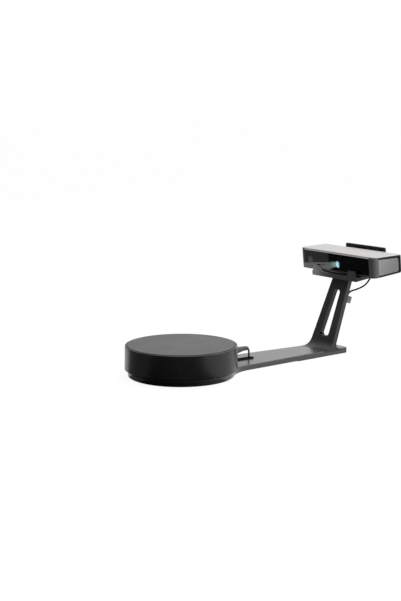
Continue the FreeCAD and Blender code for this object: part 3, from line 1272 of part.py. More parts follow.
def make_optics():
    """Optical bench with two cameras and the projector, and the light engine behind it."""
    bench = body("optical_bench")
    front = "bench_front"
    plate = sketch(bench, "YZ_Plane", front)
    rectangle(plate, "-bench_half_width", "shell_floor", "bench_half_width", "bench_high")
    for place, height, radius in (("camera_spread", "camera_height", "camera_barrel_radius"),
                                  ("-camera_spread", "camera_height", "camera_barrel_radius"),
                                  ("0", "projector_height", "projector_barrel_radius")):
        circle(plate, place, height, f"{radius} + piece_gap")
    pad(bench, plate, "bench_thickness")
    foot = sketch(bench, "XY_Plane", "shell_floor")
    for sign in (1, -1):
        rectangle(foot, "bench_front", f"{sign} * camera_spread - bench_foot", "bench_front + bench_foot",
                  f"{sign} * camera_spread + bench_foot")
    pad(bench, foot, "bench_thickness / 2")
    seat_in_head(bench)

    behind = "(bench_front + bench_thickness)"
    seat_depth = "(lens_bulge + lens_edge)"
    glasses = []
    for label, sign in (("left", 1), ("right", -1)):
        place = f"{sign} * camera_spread"
        half = "camera_body_width / 2"
        block = box(behind, f"{place} - {half}", f"camera_height - {half}", "camera_body_depth",
                    "camera_body_width", "camera_body_width")
        tube = barrel("camera_barrel_radius", "barrel_front", behind, place, "camera_height", seat_depth)
        seat_in_head(node(fuse(block, tube), f"camera_{label}"))
        glasses.append(lens("camera_barrel_radius - barrel_wall", "barrel_front", place, "camera_height",
                            "lens_edge"))
    seat_in_head(group("camera_lenses", glasses))
    tube = barrel("projector_barrel_radius", "barrel_front", behind, "0", "projector_height", seat_depth)
    seat_in_head(node(tube, "projector_barrel"))
    glass = lens("projector_barrel_radius - barrel_wall", "barrel_front", "0", "projector_height",
                 "lens_edge")
    seat_in_head(node(glass, "projector_lens"))

    engine = body("light_engine")
    block = sketch(engine, "XY_Plane", "engine_low")
    rectangle(block, behind, "-engine_width / 2", "engine_rear", "engine_width / 2")
    pad(engine, block, "engine_high - engine_low")
    seat_in_head(engine)
    sink = body("heat_sink")
    plate = sketch(sink, "XY_Plane", "engine_low")
    rectangle(plate, behind, "engine_width / 2", "engine_rear", "engine_width / 2 + fin_thickness * 2")
    pad(sink, plate, "engine_high - engine_low")
    fin = sketch(sink, "XY_Plane", "engine_low")
    rectangle(fin, behind, "engine_width / 2 + fin_thickness", f"{behind} + fin_thickness",
              "engine_width / 2 + sink_width")
    pitch = f"(engine_rear - {behind} - fin_thickness) / (fin_count - 1)"
    repeat_along(sink, pad(sink, fin, "engine_high - engine_low"), "fin_count", pitch, "X_Axis")
    seat_in_head(sink)


def make_fan():
    """Exhaust fan behind the rear vents: a square frame and a rotor that turns on its spider."""
    rear = "(head_depth - shell_wall)"
    front = f"({rear} - fan_depth)"
    bore = "(fan_size / 2 - fan_wall)"
    frame = body("fan_frame")
    square = sketch(frame, "YZ_Plane", front)
    rectangle(square, "fan_centre - fan_size / 2", "fan_height - fan_size / 2",
              "fan_centre + fan_size / 2", "fan_height + fan_size / 2")
    circle(square, "fan_centre", "fan_height", bore)
    pad(frame, square, "fan_depth")
    hub = sketch(frame, "YZ_Plane", front)
    circle(hub, "fan_centre", "fan_height", "fan_hub_radius")
    rectangle_arms = sketch(frame, "YZ_Plane", front)
    rectangle(rectangle_arms, f"fan_centre - {bore} - fan_wall / 2", "fan_height - fan_wall",
              f"fan_centre + {bore} + fan_wall / 2", "fan_height + fan_wall")
    upright_arms = sketch(frame, "YZ_Plane", front)
    rectangle(upright_arms, "fan_centre - fan_wall", f"fan_height - {bore} - fan_wall / 2",
              "fan_centre + fan_wall", f"fan_height + {bore} + fan_wall / 2")
    for drawing in (hub, rectangle_arms, upright_arms):
        pad(frame, drawing, "fan_spider")
    pin = sketch(frame, "YZ_Plane", front)
    circle(pin, "fan_centre", "fan_height", "fan_pin_radius")
    pad(frame, pin, "fan_depth * 0.8")
    seat_in_head(frame)

    start = f"({front} + fan_spider + fan_gap)"
    hub_bar = cylinder("fan_hub_radius", "fan_depth - fan_spider - fan_gap * 2", start, "fan_centre",
                       "fan_height", X_AXIS)
    pin_hole = cylinder("fan_pin_radius + running_gap", "fan_depth - fan_spider - fan_gap * 3", start,
                        "fan_centre", "fan_height", X_AXIS)
    blades = []
    for index in range(int(number("fan_blades"))):
        blade = box("0", "0", "0", "fan_blade_thickness", "fan_blade_width", f"{bore} - fan_tip_gap")
        blades.append(place_blade(blade, index, start))
    rotor = cut(fuse(hub_bar, *blades), pin_hole)
    seat_in_head(node(rotor, "fan_rotor"))


def place_blade(blade, index, start):
    """Turn one blade about the fan's axis and give it its pitch."""
    spin = Rotation(X_AXIS, 360.0 * index / number("fan_blades"))
    pitch = Rotation(Z_AXIS, number("fan_blade_pitch"))
    blade.Placement = Placement(Vector(), spin.multiply(pitch))
    return seat(blade, f"{start} + fan_depth * fan_blade_place", "fan_centre", "fan_height")


def make_electronics():
    """Main board with its sockets, the power button with its switch, and the status light."""
    board_top = "(board_low + board_thickness)"
    board = body("main_board")
    plate = sketch(board, "XY_Plane", "board_low")
    rectangle(plate, "board_front", "-board_right", "head_depth - shell_wall - piece_gap", "board_left")
    pad(board, plate, "board_thickness")
    chips = sketch(board, "XY_Plane", board_top)
    for place in ("-board_right / 2", "board_left / 2 + socket_width / 2"):
        rectangle(chips, "board_front + chip_inset", f"{place} - chip_width / 2",
                  "board_front + chip_inset + chip_width", f"{place} + chip_width / 2")
    pad(board, chips, "chip_height")
    seat_in_head(board)

    face = "(head_depth - socket_inset)"
    for label, place in (("power_socket", "power_socket_y"), ("usb_socket", "usb_socket_y"),
                         ("link_socket", "link_socket_y")):
        block = box(f"{face} - socket_depth", f"{place} - socket_width / 2", board_top,
                    "socket_depth", "socket_width", "socket_height")
        middle = f"({board_top} + socket_height / 2)"
        if label == "power_socket":
            inside = cylinder("barrel_jack_radius", "contact_length + 1", f"{face} - contact_length", place,
                              middle, X_AXIS)
            pin = cylinder("barrel_pin_radius", "contact_length", f"{face} - contact_length - 1", place,
                           middle, X_AXIS)
            piece = fuse(cut(block, inside), pin)
        elif label == "usb_socket":
            inside = box(f"{face} - contact_length", f"{place} - nose_width / 2",
                         f"{middle} - nose_height / 2", "contact_length + 1", "nose_width", "nose_height")
            tongue = box(f"{face} - contact_length - 1", f"{place} - nose_width / 4",
                         f"{middle} - nose_height / 6", "contact_length", "nose_width / 2",
                         "nose_height / 3")
            piece = fuse(cut(block, inside), tongue)
        else:
            piece = cut(block, nose_space(face, place, middle, 1))
        seat_in_head(node(piece, label))

    switch_rear = "(head_depth - shell_wall - switch_setback)"
    switch = box(f"{switch_rear} - switch_size", "button_y - switch_size / 2", board_top, "switch_size",
                 "switch_size", f"button_height + switch_size / 2 - {board_top}")
    seat_in_head(group("button_switch", [switch]))
    cap = cylinder("button_radius", "shell_wall + button_proud + button_lip_gap",
                   "head_depth - shell_wall - button_lip_gap", "button_y", "button_height", X_AXIS)
    lip = cylinder("button_radius + button_lip", "button_lip",
                   "head_depth - shell_wall - button_lip_gap - button_lip",
                   "button_y", "button_height", X_AXIS)
    stem = cylinder("button_radius / 3",
                    "switch_setback - button_lip_gap - button_lip - button_travel - piece_gap",
                    f"{switch_rear} + button_travel + piece_gap", "button_y", "button_height", X_AXIS)
    seat_in_head(node(fuse(cap, lip, stem), "power_button"))

    pipe = cylinder("light_radius", "light_length", "head_depth - light_length", "button_y", "light_height",
                    X_AXIS)
    base = box("head_depth - light_length", "button_y - light_radius", board_top, "light_radius * 2",
               "light_radius * 2", f"light_height - {board_top}")
    seat_in_head(node(fuse(pipe, base), "status_light"))

    nut = doc.addObject("Part::Prism", "hex_bar")
    nut.Polygon = 6
    bind(nut, Circumradius="nut_radius", Height="nut_height")
    seat(nut, "fixing_depth", "0", "shell_floor")
    thread = cylinder("fixing_radius + running_gap", "nut_height", "fixing_depth", "0", "shell_floor")
    seat_in_head(node(cut(nut, thread), "mounting_nut"))
    seat_in_head(group("head_screws", [
        screw("head_screw_radius", "head_post_height + head_screw_grip - head_screw_radius * screw_flat",
              across, up, "head_screw_radius * screw_flat") for across, up in head_post_places()]))


def nose_space(face, across, up, way):
    """Room for a plug's nose behind a socket's face, on an axis along the depth."""
    start = f"{face} - contact_length" if way > 0 else face
    return box(start, f"{across} - nose_width / 2 - piece_gap", f"{up} - nose_height / 2 - piece_gap",
               "contact_length + piece_gap", "nose_width + piece_gap * 2", "nose_height + piece_gap * 2")


# ---------------------------------------------------------------------------------------------------
# Turntable


LINK_BOARD_LOW = "(link_port_height - link_port_tall / 2 - board_thickness)"
CENTRES = "((gear_teeth + pinion_teeth) / 2 * gear_module)"
BRACKET_HALF = "(motor_width / 2 + bracket_gap + bracket_sheet)"


def around(radius, count, first="0"):
    """Places on a circle about the turntable's axis."""
    places = []
    for index in range(count):
        angle = f"(({first} + {index} * 360 / {count}) * 1 deg)"
        places.append((f"{radius} * cos{angle}", f"{radius} * sin{angle}"))
    return places


def make_drum():
    """Turntable housing: a slightly tapered wall with a rounded rim, screw posts and a socket opening."""
    drum = body("turntable_housing")
    wall = sketch(drum, "XZ_Plane")
    polygon(wall, [("drum_inner_radius", "drum_low"), ("drum_radius", "drum_low"),
                   ("drum_top_radius", "drum_high"), ("drum_inner_radius", "drum_high")])
    revolve(drum, wall)
    top = number("drum_high")
    outer = number("drum_top_radius")
    round_edges(drum, "drum_edge", lambda edge: level(edge, top) and edge.BoundBox.XMax > outer - 0.01)
    floor_top = "(floor_low + floor_thickness)"
    posts = sketch(drum, "XY_Plane", floor_top)
    threads = sketch(drum, "XY_Plane", floor_top)
    for across, up in around("table_screw_circle", 4, "45"):
        circle(posts, across, up, "drum_post_radius")
        circle(threads, across, up, "table_screw_radius")
    web = sketch(drum, "XY_Plane", floor_top)
    web.AttachmentOffset = Placement(Vector(), Rotation(Z_AXIS, 45.0))
    rectangle(web, "table_screw_circle", "-rib_thickness / 2", "drum_inner_radius + piece_gap * 2",
              "rib_thickness / 2")
    repeat_round(drum, pad(drum, web, "drum_post_height"), "4")
    pad(drum, posts, "drum_post_height")
    pocket(drum, threads, "drum_post_height - rib_thickness", reverse=True)
    port = sketch(drum, "YZ_Plane", "drum_inner_radius - link_port_depth / 2")
    rectangle(port, "-link_port_width / 2 - piece_gap", "link_port_height - link_port_tall / 2 - piece_gap",
              "link_port_width / 2 + piece_gap", "link_port_height + link_port_tall / 2 + piece_gap")
    pocket(drum, port, "link_port_depth", reverse=True)


def make_drum_floor():
    """Floor of the turntable with the bearing's seat, gussets, and posts for the driver board."""
    floor = body("turntable_floor")
    bearing_high = "(bearing_low + bearing_width)"
    floor_top = "(floor_low + floor_thickness)"
    shoulder = "(bearing_outer_radius - race_wall)"
    seat_outer = "(bearing_outer_radius + seat_wall)"
    profile = sketch(floor, "XZ_Plane")
    polygon(profile, [
        ("0", "floor_low"), ("drum_inner_radius - piece_gap", "floor_low"),
        ("drum_inner_radius - piece_gap", floor_top), (seat_outer, floor_top), (seat_outer, bearing_high),
        ("bearing_outer_radius", bearing_high), ("bearing_outer_radius", "bearing_low"),
        (shoulder, "bearing_low"), (shoulder, floor_top), ("0", floor_top)])
    revolve(floor, profile)
    gusset = sketch(floor, "XZ_Plane")
    polygon(gusset, [(f"{seat_outer} - seat_wall / 2", floor_top),
                     (f"{seat_outer} + gusset_reach", floor_top),
                     (seat_outer, f"{floor_top} + gusset_reach"),
                     (f"{seat_outer} - seat_wall / 2", f"{floor_top} + gusset_reach")])
    repeat_round(floor, pad(floor, gusset, "rib_thickness", symmetric=True), "6")
    posts = sketch(floor, "XY_Plane", floor_top)
    threads = sketch(floor, "XY_Plane", LINK_BOARD_LOW)
    for across, up in link_board_places():
        circle(posts, across, up, "board_post_radius")
        circle(threads, across, up, "board_post_radius / 3")
    pad(floor, posts, f"{LINK_BOARD_LOW} - {floor_top}")
    pocket(floor, threads, "board_post_radius * 2")
    holes = sketch(floor, "XY_Plane", "floor_low")
    for across, up in around("table_screw_circle", 4, "45"):
        circle(holes, across, up, "table_screw_radius + piece_gap")
    for across, up in bracket_screw_places():
        circle(holes, across, up, "table_screw_radius")
    pocket(floor, holes, "floor_thickness", reverse=True)
    group("turntable_feet", [
        cylinder("table_foot_radius", "floor_low - base_top + table_foot_recess", across, up,
                 "base_top - table_foot_recess") for across, up in foot_places()])


def link_board_places():
    """Screw posts near the corners of the driver board."""
    near = "board_x + board_post_radius * 2"
    far = "board_x + board_length - board_post_radius * 2"
    return [(across, f"{sign}(board_half_width - board_post_radius * 2)")
            for sign in ("", "-") for across in (near, far)]


def bracket_screw_places():
    return [(f"-{CENTRES} {sign_x} motor_width / 3", f"{sign_y}({BRACKET_HALF} + bracket_overhang / 2)")
            for sign_x in ("+", "-") for sign_y in ("", "-")]


def motor_screw_places():
    return [(f"-{CENTRES} {sign_x} motor_screw_spread", f"{sign_y}motor_screw_spread")
            for sign_x in ("+", "-") for sign_y in ("", "-")]


def make_drive():
    """Stepper motor hung under a hat-shaped bracket, with its shaft and pinion."""
    floor_top = "(floor_low + floor_thickness)"
    plate_top = "(motor_high + bracket_sheet)"
    motor = body("motor")
    square = sketch(motor, "XY_Plane", "motor_low")
    half = "motor_width / 2"
    chamfer = "motor_width / 8"
    corners = []
    for sign_x, sign_y in (("", ""), ("-", ""), ("-", "-"), ("", "-")):
        long = (f"({sign_x}{half}) - {CENTRES}", f"{sign_y}({half} - {chamfer})")
        short = (f"({sign_x}({half} - {chamfer})) - {CENTRES}", f"{sign_y}({half})")
        corners += [long, short] if sign_x == sign_y else [short, long]
    polygon(square, corners)
    pad(motor, square, "motor_high - motor_low")
    pilot = sketch(motor, "XY_Plane", "motor_high")
    circle(pilot, f"-{CENTRES}", "0", "motor_pilot_radius")
    pad(motor, pilot, "motor_pilot_height")
    bore = sketch(motor, "XY_Plane", "motor_high + motor_pilot_height")
    circle(bore, f"-{CENTRES}", "0", "motor_shaft_radius + running_gap")
    pocket(motor, bore, "motor_high + motor_pilot_height - motor_low - motor_end")
    threads = sketch(motor, "XY_Plane", "motor_high")
    for across, up in motor_screw_places():
        circle(threads, across, up, "motor_screw_radius")
    pocket(motor, threads, "motor_screw_grip")

    bracket = body("motor_bracket")
    hat = sketch(bracket, "YZ_Plane", f"-{CENTRES} - motor_width / 2")
    inner = "(motor_width / 2 + bracket_gap)"
    reach = f"({BRACKET_HALF} + bracket_overhang)"
    foot = f"({floor_top} + bracket_sheet)"
    polygon(hat, [
        (f"-{reach}", floor_top), (f"-{inner}", floor_top), (f"-{inner}", "motor_high"),
        (inner, "motor_high"), (inner, floor_top), (reach, floor_top), (reach, foot), (BRACKET_HALF, foot),
        (BRACKET_HALF, plate_top), (f"-{BRACKET_HALF}", plate_top), (f"-{BRACKET_HALF}", foot),
        (f"-{reach}", foot)])
    pad(bracket, hat, "motor_width")
    window = sketch(bracket, "XY_Plane", plate_top)
    circle(window, f"-{CENTRES}", "0", "motor_pilot_radius + piece_gap")
    for across, up in motor_screw_places():
        circle(window, across, up, "motor_screw_radius + piece_gap")
    pocket(bracket, window, "bracket_sheet")
    holes = sketch(bracket, "XY_Plane", foot)
    for across, up in bracket_screw_places():
        circle(holes, across, up, "table_screw_radius + piece_gap")
    pocket(bracket, holes, "bracket_sheet")

    screws = [screw("table_screw_radius", "floor_thickness + drum_post_height / 2", across, up, "floor_low")
              for across, up in around("table_screw_circle", 4, "45")]
    screws += [screw("table_screw_radius", "bracket_sheet + floor_thickness - rib_thickness / 4", across, up,
                     foot, head_below=False) for across, up in bracket_screw_places()]
    screws += [screw("motor_screw_radius", "bracket_sheet + motor_screw_grip - piece_gap", across, up,
                     plate_top, head_below=False) for across, up in motor_screw_places()]
    group("turntable_screws", screws)

    shaft_low = "(motor_low + motor_end + piece_gap)"
    shaft = cylinder("motor_shaft_radius", f"gear_low + gear_width + pinion_extra - {shaft_low}",
                     f"-{CENTRES}", "0", shaft_low)
    node(shaft, "motor_shaft")


def tooth_outline(teeth, shift, first):
    """One wire round a spur gear: involute flanks as arcs, with arcs for the tips and roots."""
    module = number("gear_module")
    slope = math.radians(number("pressure_angle"))
    pitch = teeth * module / 2
    base = pitch * math.cos(slope)
    tip = pitch + module * (1 + shift)
    root = pitch - module * (number("root_depth") - shift)
    thickness = module * (math.pi / 2 + 2 * shift * math.tan(slope)) - number("tooth_backlash")
    half_pitch = thickness / 2 / pitch

    def involute(radius):
        roll = math.sqrt(max((radius / base) ** 2 - 1, 0))
        return roll - math.atan(roll)

    def flank(radius):
        return half_pitch + math.tan(slope) - slope - involute(radius)

    def point(radius, angle):
        return Vector(radius * math.cos(angle), radius * math.sin(angle), 0)

    start = max(base, root)
    middle = (start + tip) / 2
    edges = []
    step = 2 * math.pi / teeth
    for index in range(teeth):
        centre = first + index * step
        rise = [point(radius, centre - flank(radius)) for radius in (start, middle, tip)]
        fall = [point(radius, centre + flank(radius)) for radius in (tip, middle, start)]
        foot = point(root, centre - flank(start))
        heel = point(root, centre + flank(start))
        if start > root:
            edges.append(Part.LineSegment(foot, rise[0]))
        edges.append(Part.Arc(*rise))
        edges.append(Part.Arc(rise[2], point(tip, centre), fall[0]))
        edges.append(Part.Arc(*fall))
        if start > root:
            edges.append(Part.LineSegment(fall[2], heel))
        following = point(root, centre + step - flank(start))
        edges.append(Part.Arc(heel, point(root, centre + step / 2), following))
    return Part.Wire([edge.toShape() for edge in edges])


def toothed_disc(label, teeth, shift, first, low, width):
    """A spur gear blank, cut from its outline."""
    outline = tooth_outline(int(number(teeth)), shift, first)
    item = doc.addObject("Part::Feature", label + "_blank")
    item.Shape = Part.Face(outline).extrude(Vector(0, 0, width))
    item.Placement = Placement(Vector(0, 0, low), Rotation())
    return item


def make_gears():
    """Large gear on the hub, and the motor's pinion with its boss."""
    low = number("gear_low")
    width = number("gear_width")
    extra = number("pinion_extra")
    shift = number("profile_shift")
    blank = toothed_disc("gear", "gear_teeth", -shift, 0, low, width)
    tools = [cylinder("hub_radius", "gear_width", z="gear_low")]
    for across, up in around("gear_hole_circle", 6, "30"):
        tools.append(cylinder("gear_hole_radius", "gear_width", across, up, "gear_low"))
    for across, up in around("hub_screw_circle", 3):
        tools.append(cylinder("hub_screw_radius + piece_gap", "gear_width", across, up, "gear_low"))
    node(cut(blank, fuse(*tools)), "drive_gear")

    half_step = math.pi / number("pinion_teeth")
    blank = toothed_disc("pinion", "pinion_teeth", shift, half_step, low - extra / 2, width + extra)
    centres = (number("gear_teeth") + number("pinion_teeth")) / 2 * number("gear_module")
    blank.Placement = Placement(Vector(-centres, 0, low - extra / 2), Rotation())
    boss = cylinder("pinion_boss_radius", "gear_low - pinion_extra / 2 - pinion_boss_low", f"-{CENTRES}", "0",
                    "pinion_boss_low")
    bore = cylinder("motor_shaft_radius", "gear_low + gear_width + pinion_extra", f"-{CENTRES}", "0", "0")
    node(cut(fuse(blank, boss), bore), "pinion")


def make_bearing():
    """Ball bearing: two grooved races, the balls, and the cage that keeps them apart."""
    middle = "(bearing_low + bearing_width / 2)"
    pitch = "((spindle_radius + bearing_outer_radius) / 2)"
    inner = "(spindle_radius + race_wall)"
    outer = "(bearing_outer_radius - race_wall)"
    for label, small, large in (("bearing_inner", "spindle_radius", inner),
                                ("bearing_outer", outer, "bearing_outer_radius")):
        ring = cut(cylinder(large, "bearing_width", z="bearing_low"),
                   cylinder(small, "bearing_width", z="bearing_low"))
        groove = doc.addObject("Part::Torus", "groove")
        bind(groove, Radius1=pitch, Radius2="ball_radius + ball_gap")
        seat(groove, z=middle)
        node(cut(ring, groove), label)
    balls = []
    pockets = []
    count = int(number("ball_count"))
    for index, (across, up) in enumerate(around(pitch, count)):
        ball = doc.addObject("Part::Sphere", "ball")
        bind(ball, Radius="ball_radius")
        balls.append(seat(ball, across, up, middle))
        outward = Rotation(Z_AXIS, 360.0 * index / count).multVec(X_AXIS)
        pockets.append(cylinder("ball_radius + ball_gap", f"{pitch} + cage_thickness", z=middle,
                                axis=outward))
    group("bearing_balls", balls)
    band = cut(cylinder(f"{pitch} + cage_thickness / 2", "cage_height", z=f"{middle} - cage_height / 2"),
               cylinder(f"{pitch} - cage_thickness / 2", "cage_height", z=f"{middle} - cage_height / 2"))
    node(cut(band, fuse(*pockets)), "ball_cage")


def make_platter():
    """Turning disc with a skirt and ribs, its mat, and the hub that carries it."""
    disc_low = "(platter_top - mat_thickness - platter_thickness)"
    platter = body("platter")
    profile = sketch(platter, "XZ_Plane")
    skirt = "(platter_radius - shell_wall)"
    polygon(profile, [
        ("0", disc_low), (skirt, disc_low), (skirt, f"{disc_low} - platter_skirt"),
        ("platter_radius", f"{disc_low} - platter_skirt"), ("platter_radius", "platter_top - mat_thickness"),
        ("0", "platter_top - mat_thickness")])
    revolve(platter, profile)
    rib = sketch(platter, "XY_Plane", disc_low)
    rectangle(rib, "hub_flange_radius + rib_thickness", "-rib_thickness / 2", f"{skirt} + shell_wall / 2",
              "rib_thickness / 2")
    repeat_round(platter, pad(platter, rib, "platter_rib", reverse=True), "12")
    holes = sketch(platter, "XY_Plane", "platter_top - mat_thickness")
    heads = sketch(platter, "XY_Plane", "platter_top - mat_thickness")
    for across, up in around("hub_screw_circle", 3, "60"):
        circle(holes, across, up, "hub_screw_radius + piece_gap")
        circle(heads, across, up, "hub_screw_radius * screw_wide + piece_gap")
    pocket(platter, holes, "platter_thickness")
    pocket(platter, heads, "hub_screw_radius * screw_flat")

    mat = body("grip_mat")
    disc = sketch(mat, "XY_Plane", "platter_top - mat_thickness")
    circle(disc, "0", "0", "platter_radius - mat_inset")
    pad(mat, disc, "mat_thickness")

    hub = body("platter_hub")
    flange_low = f"({disc_low} - hub_flange_thickness)"
    clip_low = "(bearing_low - clip_gap - clip_thickness)"
    clip_high = "(bearing_low - clip_gap)"
    profile = sketch(hub, "XZ_Plane")
    neck = "(spindle_radius - clip_depth)"
    shoulder = "(spindle_radius + race_wall - piece_gap * 2)"
    polygon(profile, [
        ("0", f"{clip_low} - clip_thickness"), ("spindle_radius", f"{clip_low} - clip_thickness"),
        ("spindle_radius", clip_low), (neck, clip_low), (neck, clip_high), ("spindle_radius", clip_high),
        ("spindle_radius", "bearing_low + bearing_width"), (shoulder, "bearing_low + bearing_width"),
        (shoulder, "bearing_low + bearing_width + hub_step"),
        ("hub_radius", "bearing_low + bearing_width + hub_step"),
        ("hub_radius", flange_low), ("hub_flange_radius", flange_low), ("hub_flange_radius", disc_low),
        ("0", disc_low)])
    revolve(hub, profile)
    low_threads = sketch(hub, "XY_Plane", flange_low)
    high_threads = sketch(hub, "XY_Plane", disc_low)
    for across, up in around("hub_screw_circle", 3):
        circle(low_threads, across, up, "hub_screw_radius")
    for across, up in around("hub_screw_circle", 3, "60"):
        circle(high_threads, across, up, "hub_screw_radius")
    pocket(hub, low_threads, "hub_screw_grip", reverse=True)
    pocket(hub, high_threads, "hub_screw_grip")
    clip = cut(cylinder("spindle_radius + clip_depth * 2", "clip_thickness", z=clip_low),
               cylinder(neck, "clip_thickness", z=clip_low))
    mouth = box("0", f"-{neck} / 2", clip_low, "spindle_radius * 2", neck, "clip_thickness")
    node(cut(clip, mouth), "hub_clip")
    screws = [screw("hub_screw_radius", "gear_width + hub_screw_grip - piece_gap", across, up, "gear_low")
              for across, up in around("hub_screw_circle", 3)]
    seat_height = "platter_top - mat_thickness - hub_screw_radius * screw_flat"
    screws += [screw("hub_screw_radius", "platter_thickness - hub_screw_radius * screw_flat + hub_screw_grip"
                     " - piece_gap", across, up, seat_height, head_below=False)
               for across, up in around("hub_screw_circle", 3, "60")]
    group("hub_screws", screws)


def make_link_board():
    """Driver board of the turntable and the socket for the link cable."""
    board = body("driver_board")
    plate = sketch(board, "XY_Plane", LINK_BOARD_LOW)
    rectangle(plate, "board_x", "-board_half_width", "board_x + board_length", "board_half_width")
    for across, up in link_board_places():
        circle(plate, across, up, "board_post_radius / 3 + piece_gap")
    pad(board, plate, "board_thickness")
    chip = sketch(board, "XY_Plane", f"{LINK_BOARD_LOW} + board_thickness")
    rectangle(chip, "board_x + board_length / 3 - chip_width / 2", "-chip_width / 2",
              "board_x + board_length / 3 + chip_width / 2", "chip_width / 2")
    pad(board, chip, "chip_height")
    face = "(drum_inner_radius + socket_inset)"
    block = box(f"{face} - link_port_depth", "-link_port_width / 2", "link_port_height - link_port_tall / 2",
                "link_port_depth", "link_port_width", "link_port_tall")
    node(cut(block, nose_space(face, "0", "link_port_height", 1)), "turntable_socket")


# ---------------------------------------------------------------------------------------------------
# Link cable


def plug(label, start, length, boot, nose_face, across, up):
    """A moulded plug: nose, rectangular body and a tapering bend relief, pointing along +x."""
    item = body(label)
    end = f"({start} + {length})"
    tail = f"({end} + {boot})"
    side = sketch(item, "XZ_Plane", f"-({across})")
    polygon(side, [
        (start, f"{up} - plug_tall / 2"), (end, f"{up} - plug_tall / 2"), (tail, f"{up} - boot_tall / 2"),
        (tail, f"{up} + boot_tall / 2"), (end, f"{up} + plug_tall / 2"), (start, f"{up} + plug_tall / 2")])
    pad(item, side, "plug_wide", symmetric=True)
    trim = sketch(item, "XY_Plane", f"{up}")
    for sign in ("+", "-"):
        polygon(trim, [(end, f"{across} {sign} plug_wide / 2"),
                       (f"{tail} + 1", f"{across} {sign} boot_tall / 2"),
                       (f"{tail} + 1", f"{across} {sign} plug_wide")])
    pocket(item, trim, "plug_tall * 2", symmetric=True)
    round_edges(item, "plug_edge", lambda edge: along(edge, X_AXIS))
    nose = sketch(item, "YZ_Plane", start)
    rectangle(nose, f"{across} - nose_width / 2", f"{up} - nose_height / 2", f"{across} + nose_width / 2",
              f"{up} + nose_height / 2")
    pad(item, nose, f"{start} - {nose_face} + contact_length - piece_gap", reverse=True)
    return item


def make_plugs():
    plug("turntable_plug", "(drum_radius + plug_gap)", "plug_length", "boot_length",
         "(drum_inner_radius + socket_inset)", "0", "link_port_height")
    head_plug = plug("head_plug", "(head_depth + head_plug_gap)", "head_plug_length", "head_boot_length",
                     "(head_depth - socket_inset)", "link_socket_y",
                     "(board_low + board_thickness + socket_height / 2)")
    seat_in_head(head_plug)


def behind_upright(height, side):
    """A point of the cable's route that keeps its distance behind the upright."""
    lean = math.radians(number("upright_lean"))
    x_place = number("upright_front_x") + number("upright_thickness") + height * math.tan(lean)
    return Vector(x_place + number("cable_standoff") / math.cos(lean), side, height)


def cable_route():
    """From the turntable's plug along the channel, up behind the upright, and round to the head."""
    tilt = math.radians(number("head_tilt"))
    plug_end = number("drum_radius") + number("plug_gap") + number("plug_length") + number("boot_length")
    reach = number("head_depth") + number("head_plug_gap") + number("head_plug_length")
    reach += number("head_boot_length")
    high = number("board_low") + number("board_thickness") + number("socket_height") / 2
    head_end = Vector(number("head_x") + reach * math.cos(tilt) - high * math.sin(tilt),
                      number("link_socket_y"),
                      number("head_z") + reach * math.sin(tilt) + high * math.cos(tilt))
    out = Vector(math.cos(tilt), 0, math.sin(tilt))
    return [
        Vector(plug_end, 0, number("link_port_height")),
        Vector(154.8, 0, number("link_port_height")), Vector(157.8, 0, 27.6), Vector(157.9, 0, 20),
        Vector(157.8, 0.1, 12.5), Vector(159.6, 0.3, 7.2), Vector(166, 0.6, 5.3), Vector(178, 1.1, 5.5),
        Vector(200, 1.9, 5.4),
        Vector(243, 2.6, 5.5), Vector(290, 2.3, 5.3), Vector(330, 0.9, 5.1), Vector(354, -1.4, 5),
        Vector(366, -3.2, 5.2), Vector(372.2, -4.6, 8.6), Vector(372.6, -5.4, 16), Vector(370, -8.6, 25),
        behind_upright(38, -14.2), behind_upright(54, -17.6), behind_upright(78, -18.4),
        behind_upright(96, -18.2), behind_upright(114.6, -18), Vector(401.6, -16.2, 122.1),
        Vector(430, -6, 126.2), Vector(459, 4.4, 128.7), Vector(475, 10, 131), Vector(488, 13, 139.5),
        Vector(495, 14.2, 154), Vector(497, 14.2, 168.5), Vector(491.9, 14.1, 177.6),
        head_end + out * 9, head_end,
    ]


def cable_path(route):
    """Straight runs between the points of a route, with an arc in place of every corner."""
    edges = []
    radii = []
    start = route[0]
    for before, corner, after in zip(route, route[1:], route[2:]):
        inward = before - corner
        outward = after - corner
        reach = number("arc_share") * min(inward.Length, outward.Length)
        half_turn = (math.pi - inward.getAngle(outward)) / 2
        radius = reach / math.tan(half_turn)
        first = corner + inward.normalize() * reach
        last = corner + outward.normalize() * reach
        centre_way = (inward + outward).normalize()
        centre = corner + centre_way * (radius / math.cos(half_turn))
        edges.append(Part.LineSegment(start, first).toShape())
        edges.append(Part.Arc(first, centre - centre_way * radius, last).toShape())
        radii.append(radius)
        start = last
    edges.append(Part.LineSegment(start, route[-1]).toShape())
    print("cable radii:", " ".join(f"{radius:.0f}" for radius in radii))
    return Part.Wire(edges)


def make_cable():
    """The round link cable, swept along its route."""
    path = cable_path(cable_route())
    radius = number("cable_radius")
    start = path.OrderedVertexes[0].Point
    way = path.OrderedEdges[0].tangentAt(path.OrderedEdges[0].FirstParameter)
    section = Part.Wire(Part.Circle(start, way, radius).toShape())
    tube = path.makePipeShell([section], True, False)
    wanted = math.pi * radius ** 2 * path.Length
    if abs(tube.Volume / wanted - 1) > 0.01:
        raise ValueError(f"cable volume {tube.Volume:.1f}, wanted {wanted:.1f}")
    print(f"cable length {path.Length:.1f}")
    item = doc.addObject("Part::Feature", "link_cable")
    item.Shape = tube
    node(item, "link_cable")


# ---------------------------------------------------------------------------------------------------

